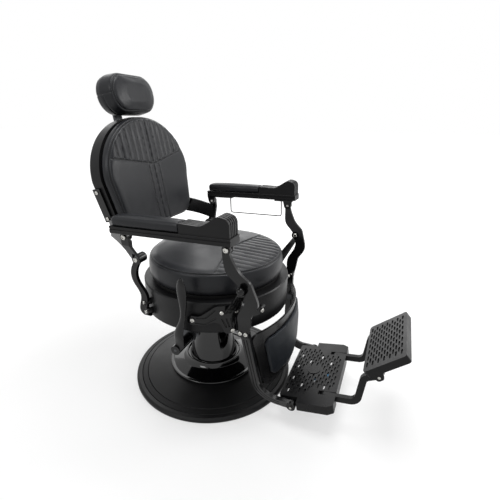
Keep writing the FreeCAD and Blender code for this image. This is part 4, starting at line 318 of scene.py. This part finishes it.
# Making of a soft skin: welding of the solid's corners, and smoothing before and after it is puffed up
WELD_REACH = 0.01 * MM
SMOOTH_FACTOR = 0.5
SKIN_PASSES = 6
FINISH_PASSES = 4
# Cloth simulation of a stuffed cover, and the most that its skin may sink where it is drawn tight
PUFF_FRAMES = 20
PUFF_PRESSURE = 4.0
PUFF_PASSES = 40
DRAW_IN = 0.5 * MM
# A point is held if its normal has at least this cosine with the way of a held side
HELD_COSINE = 0.8


def add_smoothing(thing, passes):
    smooth = thing.modifiers.new("Even", "SMOOTH")
    smooth.factor = SMOOTH_FACTOR
    smooth.iterations = passes


def evened(thing, values, passes):
    """Values at the points after each has taken in the mean of its neighbours a number of times."""
    ends = np.zeros(len(thing.data.edges) * 2, np.int32)
    thing.data.edges.foreach_get("vertices", ends)
    first, second = ends.reshape(-1, 2).T
    neighbours = np.bincount(ends, minlength=len(values))
    for _ in range(passes):
        total = np.bincount(first, values[second], len(values))
        total += np.bincount(second, values[first], len(values))
        values = (values + total / neighbours) / 2
    return values


def soft_copy(node, name, voxel):
    """Even quad skin of a soft solid of the frame, with its edges and channels rounded off."""
    mesh = frame["nodes"][node].data.copy()
    work = bmesh.new()
    work.from_mesh(mesh)
    bmesh.ops.remove_doubles(work, verts=work.verts, dist=WELD_REACH)
    work.to_mesh(mesh)
    work.free()
    mesh.materials.clear()
    thing = linked(name, mesh)
    skin = thing.modifiers.new("Skin", "REMESH")
    skin.mode = "VOXEL"
    skin.voxel_size = voxel
    add_smoothing(thing, SKIN_PASSES)
    return baked(thing)


def puff(thing, cap, held_sides):
    """Blow the skin up like a stuffed cover; sides that rest on something are held.

    The rise is evened out so that the cover is drawn tight, and no point rises past the cap.
    """
    start = points_of(thing)
    normals = points_of(thing, "normal")
    held = np.zeros(len(start), bool)
    for side in held_sides:
        held |= normals @ np.array(side) > HELD_COSINE
    group = thing.vertex_groups.new(name="held")
    group.add([int(i) for i in np.nonzero(held)[0]], 1.0, "REPLACE")
    cloth = thing.modifiers.new("Puff", "CLOTH")
    cloth.settings.use_pressure = True
    cloth.settings.uniform_pressure_force = PUFF_PRESSURE
    cloth.settings.effector_weights.gravity = 0
    cloth.settings.vertex_group_mass = group.name
    cloth.collision_settings.use_collision = False
    cloth.point_cache.frame_start = 1
    cloth.point_cache.frame_end = PUFF_FRAMES
    for step in range(1, PUFF_FRAMES + 1):
        bpy.context.scene.frame_set(step)
    moved = points_of(baked(thing))
    bpy.context.scene.frame_set(1)
    thing.vertex_groups.clear()
    rise = np.sum((moved - start) * normals, axis=1)
    rise = np.clip(evened(thing, rise, PUFF_PASSES), -DRAW_IN, cap)
    set_points(thing, start + normals * rise[:, None])


def padded_skin(node, name, voxel, shrink, cap, held_sides):
    """Stuffed form of a soft solid: shrunk a little, puffed up, smoothed and subdivided once."""
    thing = soft_copy(node, name, voxel)
    set_points(thing, points_of(thing) - points_of(thing, "normal") * shrink)
    puff(thing, cap, held_sides)
    add_smoothing(thing, FINISH_PASSES)
    finer = thing.modifiers.new("Finer", "SUBSURF")
    finer.levels = 1
    finer.render_levels = 1
    baked(thing)
    thing.data.polygons.foreach_set("use_smooth", [True] * len(thing.data.polygons))
    return thing


def dress(thing, node, body, slot):
    """Material and body of a finished soft piece, with the frame's node that it stands for hidden."""
    thing.data.materials.clear()
    thing.data.materials.append(material_for(slot))
    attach(thing, body)
    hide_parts(node)


def ramp(values, start, end):
    """Smooth step from 0 at the start to 1 at the end."""
    share = np.clip((values - start) / (end - start), 0.0, 1.0)
    return share * share * (3 - 2 * share)


def hollow(distance, width):
    """1 on a seam, falling off on both sides of it."""
    return np.exp(-(distance / width) ** 2)


def rib_valleys(across, pitch):
    """0 on the crown of a round rib and 1 in the valley between two."""
    crown = np.abs(across / pitch - np.round(across / pitch)) * 2
    return 1 - np.sqrt(np.maximum(0.0, 1 - (1 - crown) ** 2))


# Steps of an outline that are no longer than this are left out
SHORT_EDGE = 0.1 * MM


class PadFrame:
    """A pad's own frame: u and v across it, w out of its face, with the solid's outline and height."""

    def __init__(self, node, place):
        self.place = place
        self.facing = place.to_3x3() @ Vector((0, 0, 1))
        self.into = np.array(place.inverted())
        self.out = np.array(place)
        solid = self.local(points_of(frame["nodes"][node]))
        self.low = solid.min(0)
        self.high = solid.max(0)
        flat = [Vector(p[:2]) for p in solid]
        hull = np.array([flat[i] for i in convex_hull_2d(flat)])
        steps = np.linalg.norm(np.roll(hull, -1, 0) - hull, axis=1)
        self.ring = hull[steps > SHORT_EDGE]
        ahead = np.roll(self.ring, -1, 0) - self.ring
        self.lengths = np.linalg.norm(ahead, axis=1)
        self.along = ahead / self.lengths[:, None]
        self.inward = np.stack([-self.along[:, 1], self.along[:, 0]], 1)

    def local(self, points):
        """Points of the scene in the pad's frame."""
        return points @ self.into[:3, :3].T + self.into[:3, 3]

    def world(self, points):
        """Points of the pad's frame in the scene."""
        return points @ self.out[:3, :3].T + self.out[:3, 3]

    def edge(self, flat):
        """Distance of points in from the outline, and the way in from there."""
        nearest = np.full(len(flat), np.inf)
        ways = np.zeros((len(flat), 2))
        for corner, inward in zip(self.ring, self.inward):
            distance = (flat - corner) @ inward
            closer = distance < nearest
            nearest[closer] = distance[closer]
            ways[closer] = inward
        return nearest, ways

    def shoulder(self, local):
        """Place round the shoulder: below 0 down the side, above 0 in over the face."""
        inset, _ = self.edge(local[:, :2])
        return inset - (self.high[2] - local[:, 2])

    def stations(self, count):
        """Evenly spaced points of the outline with their inward directions."""
        marks = np.concatenate([[0], np.cumsum(self.lengths)])
        spots = []
        for distance in np.linspace(0, marks[-1], count, endpoint=False):
            i = min(int(np.searchsorted(marks, distance, "right")) - 1, len(self.ring) - 1)
            spots.append((self.ring[i] + self.along[i] * (distance - marks[i]), self.inward[i]))
        return spots


# Rays that find the skin start well outside it, in a fan from nearly level to nearly upright
RAY_START = 150 * MM
FAN_LOW = math.radians(4)
FAN_HIGH = math.radians(86)
FAN_RAYS = 15
# Steps of one straight stitch row
LINE_STEPS = 60


def surface_tree(thing):
    """Tree of the skin's faces, for rays."""
    corners = [v.co for v in thing.data.vertices]
    return BVHTree.FromPolygons(corners, [p.vertices for p in thing.data.polygons])


def face_row(tree, pad, start, end):
    """Points on a pad's face straight below a flat line."""
    found = []
    for step in range(LINE_STEPS + 1):
        u, v = (a + (b - a) * step / LINE_STEPS for a, b in zip(start, end))
        hit = tree.ray_cast(pad.place @ Vector((u, v, pad.high[2] + RAY_START)), -pad.facing)[0]
        if hit is not None:
            found.append(hit)
    return found


def shoulder_row(tree, pad, level, count, depth):
    """Closed row round a pad at one level of its shoulder, found from a spine that lies deep inside."""
    found = []
    for spot, inward in pad.stations(count):
        spine = Vector((*(spot + inward * depth), pad.high[2] - depth))
        hits = []
        for lift in np.linspace(FAN_LOW, FAN_HIGH, FAN_RAYS):
            outward = Vector((*(-inward * math.cos(lift)), math.sin(lift)))
            start = pad.place @ (spine + outward * RAY_START)
            hit = tree.ray_cast(start, -(pad.place.to_3x3() @ outward))[0]
            if hit is not None:
                hits.append(np.array(hit))
        levels = pad.shoulder(pad.local(np.array(hits)))
        for i in range(len(hits) - 1):
            if levels[i] <= level < levels[i + 1]:
                share = (level - levels[i]) / (levels[i + 1] - levels[i])
                found.append(Vector(hits[i] + (hits[i + 1] - hits[i]) * share))
                break
    return found


def edge_rows(tree, pad, spread, count, depth):
    """The two closed stitch rows beside a pad's edge seam."""
    offset = upholstery().row_offset * spread
    return [(shoulder_row(tree, pad, level, count, depth), True) for level in (-offset, offset)]


def vee_rows(tree, pad, middle, rise, reach):
    """The open stitch rows beside a V seam, which rises from its middle out to a reach on each side."""
    shift = upholstery().row_offset * math.hypot(1, rise)
    rows = []
    for side in (-1, 1):
        for level in (middle - shift, middle + shift):
            rows.append((face_row(tree, pad, (0.0, level), (side * reach, level + rise * reach)), False))
    return rows


# Facets of one stitch
BEAD_SEGMENTS = 6
BEAD_RINGS = 5


def stitch_tree():
    """Geometry nodes that lay one bead of thread at each step along the seam lines."""
    tree = bpy.data.node_groups.new("sewn_stitches", "GeometryNodeTree")
    tree.interface.new_socket("Seam lines", in_out="INPUT", socket_type="NodeSocketGeometry")
    for name in ("Pitch", "Stitch length", "Thread radius"):
        tree.interface.new_socket(name, in_out="INPUT", socket_type="NodeSocketFloat")
    tree.interface.new_socket("Thread", in_out="INPUT", socket_type="NodeSocketMaterial")
    tree.interface.new_socket("Stitches", in_out="OUTPUT", socket_type="NodeSocketGeometry")
    given = add_node(tree, "NodeGroupInput").outputs
    line = add_node(tree, "GeometryNodeMeshToCurve", {"Mesh": given["Seam lines"]})
    spots = add_node(tree, "GeometryNodeCurveToPoints", {
        "Curve": line.outputs["Curve"], "Length": given["Pitch"]}, mode="LENGTH")
    bead = add_node(tree, "GeometryNodeMeshUVSphere", {
        "Segments": BEAD_SEGMENTS, "Rings": BEAD_RINGS, "Radius": 1.0})
    half = add_node(tree, "ShaderNodeMath", {0: given["Stitch length"], 1: 0.5}, operation="MULTIPLY")
    size = add_node(tree, "ShaderNodeCombineXYZ", {
        "X": given["Thread radius"], "Y": given["Thread radius"], "Z": half.outputs["Value"]})
    laid = add_node(tree, "GeometryNodeInstanceOnPoints", {
        "Points": spots.outputs["Points"], "Instance": bead.outputs["Mesh"],
        "Rotation": spots.outputs["Rotation"], "Scale": size.outputs["Vector"]})
    real = add_node(tree, "GeometryNodeRealizeInstances", {"Geometry": laid.outputs["Instances"]})
    soft = add_node(tree, "GeometryNodeSetShadeSmooth", {"Geometry": real.outputs["Geometry"]})
    done = add_node(tree, "GeometryNodeSetMaterial", {
        "Geometry": soft.outputs["Geometry"], "Material": given["Thread"]})
    add_node(tree, "NodeGroupOutput", {"Stitches": done.outputs["Geometry"]})
    return tree


def sew(name, body, rows):
    """Stitches along rows of points; a row is (points, closed)."""
    corners = []
    edges = []
    for points, closed in rows:
        first = len(corners)
        corners += [tuple(p) for p in points]
        edges += [(first + i, first + i + 1) for i in range(len(points) - 1)]
        if closed:
            edges.append((len(corners) - 1, first))
    mesh = bpy.data.meshes.new(name)
    mesh.from_pydata(corners, edges, [])
    thing = linked(name, mesh)
    tree = bpy.data.node_groups.get("sewn_stitches") or stitch_tree()
    sizes = upholstery()
    given = {"Pitch": sizes.stitch_pitch, "Stitch length": sizes.stitch_length,
             "Thread radius": sizes.thread_radius, "Thread": material_for("thread")}
    sewing = thing.modifiers.new("Sewing", "NODES")
    sewing.node_group = tree
    for item in tree.interface.items_tree:
        if item.name in given:
            sewing[item.identifier] = given[item.name]
    baked(thing)
    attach(thing, body)


# How far in from the outline a boxed edge is drawn out
BOX_REACH = 60 * MM
# Share of the seam depth at which the painted seam shade begins
SEAM_SHADE_START = 0.35
# The seam round a pad's edge is wider than one on its face by this factor
EDGE_WIDTH = 1.4
# A pad's face ends where its skin turns away, and the sewing on it starts a little inside the edge seam
FACE_LOW = 0.3
FACE_HIGH = 0.7
FACE_START = 2 * MM


def box_edge(thing, pad, rear_share, front_share):
    """Draw a rounded edge out towards the pad's full outline, as the band of a boxed cover does."""
    local = pad.local(points_of(thing))
    depth, inward = pad.edge(local[:, :2])
    share = rear_share + (front_share - rear_share) * ramp(local[:, 2], pad.low[2], pad.high[2])
    move = share * np.clip(np.minimum(depth, BOX_REACH - depth), 0, None)
    local[:, :2] -= inward * move[:, None]
    set_points(thing, pad.world(local))


def press_seams(thing, pad, sunk):
    """Sink the skin along its normals by what a rule of its local points gives, and store the painted shade
    of its seams.
    """
    points = points_of(thing)
    normals = points_of(thing, "normal")
    drop = sunk(pad.local(points), normals @ pad.out[:3, 2])
    set_points(thing, points - normals * drop[:, None])
    depth = upholstery().seam_depth
    # Painted shade: the deeper a point lies in a seam, the darker the material paints it
    crease = thing.data.attributes.new("crease", "FLOAT", "POINT")
    crease.data.foreach_set("value", ramp(drop, SEAM_SHADE_START * depth, depth).astype(np.float32))


def past_vee(local, middle, rise):
    """Distance of points past a V seam that rises from its middle to both sides; below 0 before it."""
    return (local[:, 1] - middle - rise * np.abs(local[:, 0])) / math.hypot(1, rise)


def on_face(shoulder, facing, fade):
    """1 on a pad's face from the fade distance inwards, and 0 at its edge seam and down its sides."""
    return ramp(shoulder, FACE_START, fade) * ramp(facing, FACE_LOW, FACE_HIGH)


class ChairStep(bpy.types.Operator):
    """Shared base of the building steps."""
    bl_options = {"REGISTER", "UNDO"}


# Pieces that are polished brighter than the other gloss enamel
PUMP_COVER = ("pump_cone", "pump_flange")


class CHAIR_OT_frame_finishes(ChairStep):
    """Give every carried-over piece of the frame its finish"""
    bl_idname = "chair.frame_finishes"
    bl_label = "Frame Finishes"

    def execute(self, context):
        for node, thing in frame["nodes"].items():
            thing.data.materials.clear()
            slot = "pump_enamel" if node in PUMP_COVER else SLOT_OF[node]
            thing.data.materials.append(material_for(slot))
        return {"FINISHED"}


# The V seam of the seat: ahead of the middle, turning forward to both sides, and short of the edge
SEAT_SEAM_FRONT = 63 * MM
SEAT_SEAM_TURN = 0.22
SEAT_SEAM_INSET = 24 * MM
SEAT_SEAM_SHARE = 0.9
SEAT_RIB_ENDS = 10 * MM
SEAT_FADE = 20 * MM
# Depth inside the cushion from which its edge rows are found
SEAT_SPINE = 40 * MM
# Points of an edge row on the seat and the back
LONG_ROW = 240


class CHAIR_OT_seat_cushion(ChairStep):
    """Round seat cushion with a smooth rear panel and a ribbed front"""
    bl_idname = "chair.seat_cushion"
    bl_label = "Seat Cushion"

    def execute(self, context):
        low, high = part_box("seat_cushion")
        centre = (low + high) / 2
        pad = PadFrame("seat_cushion", Matrix.Translation((centre.x, centre.y, 0)))
        cushion = padded_skin("seat_cushion", "seat_cushion_leather", voxel=5 * MM, shrink=2.5 * MM,
                              cap=4 * MM, held_sides=[DOWNWARD])
        sizes = upholstery()

        def sunk(local, facing):
            shoulder = pad.shoulder(local)
            ahead = -past_vee(local, -SEAT_SEAM_FRONT, -SEAT_SEAM_TURN)
            inside = on_face(shoulder, facing, SEAT_FADE)
            ribs = rib_valleys(local[:, 0], sizes.rib_pitch) * ramp(ahead, 0, SEAT_RIB_ENDS) * inside
            seams = hollow(shoulder, sizes.seam_width * EDGE_WIDTH) + hollow(ahead, sizes.seam_width) * inside
            return sizes.rib_depth * ribs + sizes.seam_depth * seams

        box_edge(cushion, pad, rear_share=0.0, front_share=0.45)
        press_seams(cushion, pad, sunk)
        dress(cushion, "seat_cushion", "seat", "leather")
        tree = surface_tree(cushion)
        reach = (pad.high[0] - SEAT_SEAM_INSET) * SEAT_SEAM_SHARE
        rows = edge_rows(tree, pad, EDGE_WIDTH, LONG_ROW, SEAT_SPINE)
        rows += vee_rows(tree, pad, -SEAT_SEAM_FRONT, -SEAT_SEAM_TURN, reach)
        sew("seat_stitches", "seat", rows)
        return {"FINISHED"}


BACK_LEAN = math.radians(10)
# The V seam of the back: its height on the cushion, its rise to both sides and its end short of the edge
BACK_SEAM_HEIGHT = 244 * MM
BACK_SEAM_RISE = 0.185
BACK_SEAM_INSET = 40 * MM
BACK_RIB_ENDS = 9 * MM
BACK_FADE = 16 * MM
BACK_SPINE = 30 * MM
# Three upright seams, a rib apart, between the panels below the V seam
STRIP_ENDS = 6 * MM
STRIP_DEPTH = 0.8
STRIP_REACH = 1.5


def back_place(node):
    """Frame of the back at the foot of a pad on it: u to the left, v up the back, w forward."""
    turn = Matrix.Rotation(math.pi / 2 - BACK_LEAN, 4, "X")
    points = points_of(frame["nodes"][node])
    flat = np.array(turn.inverted().to_3x3()) @ points.T
    return turn @ Matrix.Translation((0, flat[1].min(), flat[2].min()))


class CHAIR_OT_back_cushion(ChairStep):
    """Back cushion with upright channels above a shallow V seam and two plain panels below"""
    bl_idname = "chair.back_cushion"
    bl_label = "Back Cushion"

    def execute(self, context):
        pad = PadFrame("back_cushion", back_place("back_cushion"))
        cushion = padded_skin("back_cushion", "back_cushion_leather", voxel=5 * MM, shrink=2 * MM,
                              cap=3 * MM, held_sides=[tuple(-pad.facing)])
        sizes = upholstery()

        def sunk(local, facing):
            shoulder = pad.shoulder(local)
            above = past_vee(local, BACK_SEAM_HEIGHT, BACK_SEAM_RISE)
            inside = on_face(shoulder, facing, BACK_FADE)
            ribs = rib_valleys(local[:, 0], sizes.rib_pitch) * ramp(above, 0, BACK_RIB_ENDS) * inside
            aside = np.abs(local[:, 0])
            strip = np.abs(np.abs(aside - sizes.rib_pitch / 2) - sizes.rib_pitch / 2)
            strips = hollow(strip, sizes.seam_width) * ramp(-above, 0, STRIP_ENDS) * inside
            strips *= aside < sizes.rib_pitch * STRIP_REACH
            seams = hollow(shoulder, sizes.seam_width * EDGE_WIDTH) + hollow(above, sizes.seam_width) * inside
            return sizes.rib_depth * ribs + sizes.seam_depth * (seams + strips * STRIP_DEPTH)

        box_edge(cushion, pad, rear_share=0.0, front_share=0.45)
        press_seams(cushion, pad, sunk)
        dress(cushion, "back_cushion", "back", "leather")
        tree = surface_tree(cushion)
        rows = edge_rows(tree, pad, EDGE_WIDTH, LONG_ROW, BACK_SPINE)
        rows += vee_rows(tree, pad, BACK_SEAM_HEIGHT, BACK_SEAM_RISE, pad.high[0] - BACK_SEAM_INSET)
        sew("back_stitches", "back", rows)
        return {"FINISHED"}


# Seams of the head pad's side band, against other seams, and the one under it at a share of its thickness
BAND_SEAM_WIDTH = 0.7
BAND_SEAM_DEPTH = 0.6
BAND_SEAM_ENDS = 8 * MM
UNDER_SEAM_SHARE = 0.45
# Seam and stitch rows round the head pad's front panel
PANEL_SEAM_DEPTH = 0.8
PANEL_ROW_SPREAD = 1.2
PANEL_SPINE = 30 * MM
SHORT_ROW = 160


class CHAIR_OT_headrest(ChairStep):
    """Thick oval head pad with a sewn front panel and a split side band"""
    bl_idname = "chair.headrest"
    bl_label = "Headrest"

    def execute(self, context):
        pad = PadFrame("headrest_pad", back_place("headrest_pad"))
        cushion = padded_skin("headrest_pad", "headrest_pad_leather", voxel=3.5 * MM, shrink=2 * MM,
                              cap=4 * MM, held_sides=[tuple(-pad.facing)])
        sizes = upholstery()
        middle = (pad.low[1] + pad.high[1]) / 2
        split = pad.high[2] * UNDER_SEAM_SHARE

        def sunk(local, facing):
            shoulder = pad.shoulder(local)
            band = 1 - ramp(shoulder, -BAND_SEAM_ENDS, 0)
            level_seam = hollow(local[:, 1] - middle, sizes.seam_width * BAND_SEAM_WIDTH) * band
            under_seam = hollow(local[:, 2] - split, sizes.seam_width * BAND_SEAM_WIDTH) * band
            under_seam *= local[:, 1] < middle
            panel_seam = hollow(shoulder, sizes.seam_width * EDGE_WIDTH)
            return sizes.seam_depth * (panel_seam * PANEL_SEAM_DEPTH + level_seam * BAND_SEAM_DEPTH
                                       + under_seam * BAND_SEAM_DEPTH)

        box_edge(cushion, pad, rear_share=0.5, front_share=0.2)
        press_seams(cushion, pad, sunk)
        dress(cushion, "headrest_pad", "headrest", "leather")
        tree = surface_tree(cushion)
        sew("headrest_stitches", "headrest", edge_rows(tree, pad, PANEL_ROW_SPREAD, SHORT_ROW, PANEL_SPINE))
        return {"FINISHED"}


class CHAIR_OT_arm_pads(ChairStep):
    """Leather pads on the rear of both arm rails"""
    bl_idname = "chair.arm_pads"
    bl_label = "Arm Pads"

    def execute(self, context):
        for side in ("right", "left"):
            node = side + "_arm_pad"
            pad = padded_skin(node, node + "_leather", voxel=3 * MM, shrink=1.5 * MM, cap=4 * MM,
                              held_sides=[DOWNWARD, FORWARD])
            dress(pad, node, side + "_arm", "leather")
        return {"FINISHED"}


class CHAIR_OT_calf_pad(ChairStep):
    """Slate leather pad let into the calf shield"""
    bl_idname = "chair.calf_pad"
    bl_label = "Calf Pad"

    def execute(self, context):
        pad = padded_skin("calf_pad", "calf_pad_leather", voxel=3.5 * MM, shrink=1.5 * MM, cap=5 * MM,
                          held_sides=[BACKWARD])
        dress(pad, "calf_pad", "leg_rest", "leather_slate")
        return {"FINISHED"}


# Half width of the paper floor in metres, and its grey under the lamps
FLOOR_HALF = 30.0
FLOOR_ALBEDO = 0.42
# Glow of the paper under the chair and where the lamps no longer reach it, with both reaches in metres
NEAR_GLOW = 0.56
FAR_GLOW = 1.0
NEAR_REACH = 0.7
FAR_REACH = 2.6
# Place and width of each softbox in metres, and the point in the chair that all of them face
SOFTBOXES = {
    "key": ((1.45, -1.9, 1.65), 1.0),
    "top": ((0.0, -0.3, 3.0), 1.3),
    "rim": ((2.0, 1.2, 1.9), 3.0),
    "side": ((-2.4, 0.9, 2.2), 1.0),
}
LAMP_TARGET = Vector((0, -0.1, 0.6))


def seen_rays(tree):
    """1 for rays that show the background: from the camera, a mirror or glass."""
    rays = add_node(tree, "ShaderNodeLightPath").outputs
    shiny = add_node(tree, "ShaderNodeMath", {0: rays["Is Camera Ray"], 1: rays["Is Glossy Ray"]},
                     operation="MAXIMUM")
    clear = add_node(tree, "ShaderNodeMath", {0: shiny.outputs["Value"], 1: rays["Is Transmission Ray"]},
                     operation="MAXIMUM")
    return clear.outputs["Value"]


def make_floor():
    """White paper that keeps the chair's shadow and runs out into the white ground."""
    corners = [(-FLOOR_HALF, -FLOOR_HALF, 0), (FLOOR_HALF, -FLOOR_HALF, 0), (FLOOR_HALF, FLOOR_HALF, 0),
               (-FLOOR_HALF, FLOOR_HALF, 0)]
    mesh = bpy.data.meshes.new("studio_floor")
    mesh.from_pydata(corners, [], [(0, 1, 2, 3)])
    floor = linked("studio_floor", mesh)
    paper = bpy.data.materials.new("white_paper_floor")
    paper.use_nodes = True
    tree = paper.node_tree
    tree.nodes.clear()
    place = add_node(tree, "ShaderNodeTexCoord").outputs["Object"]
    reach = add_node(tree, "ShaderNodeVectorMath", {0: place}, operation="LENGTH")
    level = add_node(tree, "ShaderNodeMapRange", {
        "Value": reach.outputs["Value"], "From Min": NEAR_REACH, "From Max": FAR_REACH, "To Min": NEAR_GLOW,
        "To Max": FAR_GLOW}, interpolation_type="SMOOTHSTEP")
    glow = add_node(tree, "ShaderNodeMath", {0: seen_rays(tree), 1: level.outputs["Result"]},
                    operation="MULTIPLY")
    light = add_node(tree, "ShaderNodeEmission", {"Strength": glow.outputs["Value"]})
    matt = add_node(tree, "ShaderNodeBsdfDiffuse", {"Color": (FLOOR_ALBEDO, FLOOR_ALBEDO, FLOOR_ALBEDO, 1)})
    both = add_node(tree, "ShaderNodeAddShader", {0: light.outputs["Emission"], 1: matt.outputs["BSDF"]})
    add_node(tree, "ShaderNodeOutputMaterial", {"Surface": both.outputs["Shader"]})
    mesh.materials.append(paper)


def make_sky(top, side):
    """White ground for what the eye sees, and softer light that comes mostly from above."""
    world = bpy.data.worlds.new("studio")
    bpy.context.scene.world = world
    world.use_nodes = True
    tree = world.node_tree
    tree.nodes.clear()
    aim = add_node(tree, "ShaderNodeTexCoord").outputs["Generated"]
    height = add_node(tree, "ShaderNodeSeparateXYZ", {"Vector": aim}).outputs["Z"]
    lit = add_node(tree, "ShaderNodeMapRange", {"Value": height, "To Min": side, "To Max": top})
    level = add_node(tree, "ShaderNodeMix", {"Factor": seen_rays(tree), "A": lit.outputs["Result"], "B": 1.0})
    light = add_node(tree, "ShaderNodeBackground", {"Color": (1, 1, 1, 1),
                                                    "Strength": level.outputs["Result"]})
    add_node(tree, "ShaderNodeOutputWorld", {"Surface": light.outputs["Background"]})


def make_softbox(name, place, width, watts):
    """Square lamp that faces the chair and isn't seen itself."""
    light = bpy.data.lights.new(name, "AREA")
    light.shape = "SQUARE"
    light.size = width
    light.energy = watts
    lamp = linked(name, light)
    lamp.location = place
    lamp.rotation_mode = "QUATERNION"
    lamp.rotation_quaternion = (LAMP_TARGET - Vector(place)).to_track_quat("-Z", "Y")
    lamp.visible_camera = False


class CHAIR_OT_studio(ChairStep):
    """Pale floor, soft light and the camera"""
    bl_idname = "chair.studio"
    bl_label = "Studio"

    def execute(self, context):
        stage = context.scene.chair_stage
        context.scene.view_settings.view_transform = "Standard"
        make_floor()
        make_sky(stage.sky_top, stage.sky_side)
        for name, (place, width) in SOFTBOXES.items():
            make_softbox(name + "_softbox", place, width, getattr(stage, name + "_power"))
        lens = bpy.data.cameras.new("camera")
        lens.lens = stage.lens / MM
        camera = linked("camera", lens)
        turn = Matrix.Rotation(stage.yaw, 4, "Z") @ Matrix.Rotation(math.pi / 2 - stage.pitch, 4, "X")
        spot = Matrix.Translation((stage.camera_x, stage.camera_y, stage.camera_z))
        camera.matrix_world = spot @ turn @ Matrix.Rotation(stage.roll, 4, "Z")
        context.scene.camera = camera
        return {"FINISHED"}


STEPS = (CHAIR_OT_frame_finishes, CHAIR_OT_seat_cushion, CHAIR_OT_back_cushion, CHAIR_OT_headrest,
         CHAIR_OT_arm_pads, CHAIR_OT_calf_pad, CHAIR_OT_studio)
GROUPS = {"chair_finishes": ChairFinishes, "chair_upholstery": ChairUpholstery, "chair_stage": ChairStage}


class CHAIR_PT_dressing(bpy.types.Panel):
    """Sizes, colours and steps of the chair"""
    bl_idname = "CHAIR_PT_dressing"
    bl_label = "Barber Chair"
    bl_space_type = "VIEW_3D"
    bl_region_type = "UI"
    bl_category = "Barber Chair"

    def draw(self, context):
        for name, group in GROUPS.items():
            box = self.layout.box()
            for prop in group.__annotations__:
                box.prop(getattr(context.scene, name), prop)
        for step in STEPS:
            self.layout.operator(step.bl_idname)


CLASSES = (*GROUPS.values(), *STEPS, CHAIR_PT_dressing)


def register():
    for cls in CLASSES:
        bpy.utils.register_class(cls)
    for name, group in GROUPS.items():
        setattr(bpy.types.Scene, name, PointerProperty(type=group))


def unregister():
    for name in GROUPS:
        delattr(bpy.types.Scene, name)
    for cls in reversed(CLASSES):
        bpy.utils.unregister_class(cls)


def main():
    register()
    for step in STEPS:
        category, name = step.bl_idname.split(".")
        getattr(getattr(bpy.ops, category), name)()


if __name__ == "__main__":
    main()
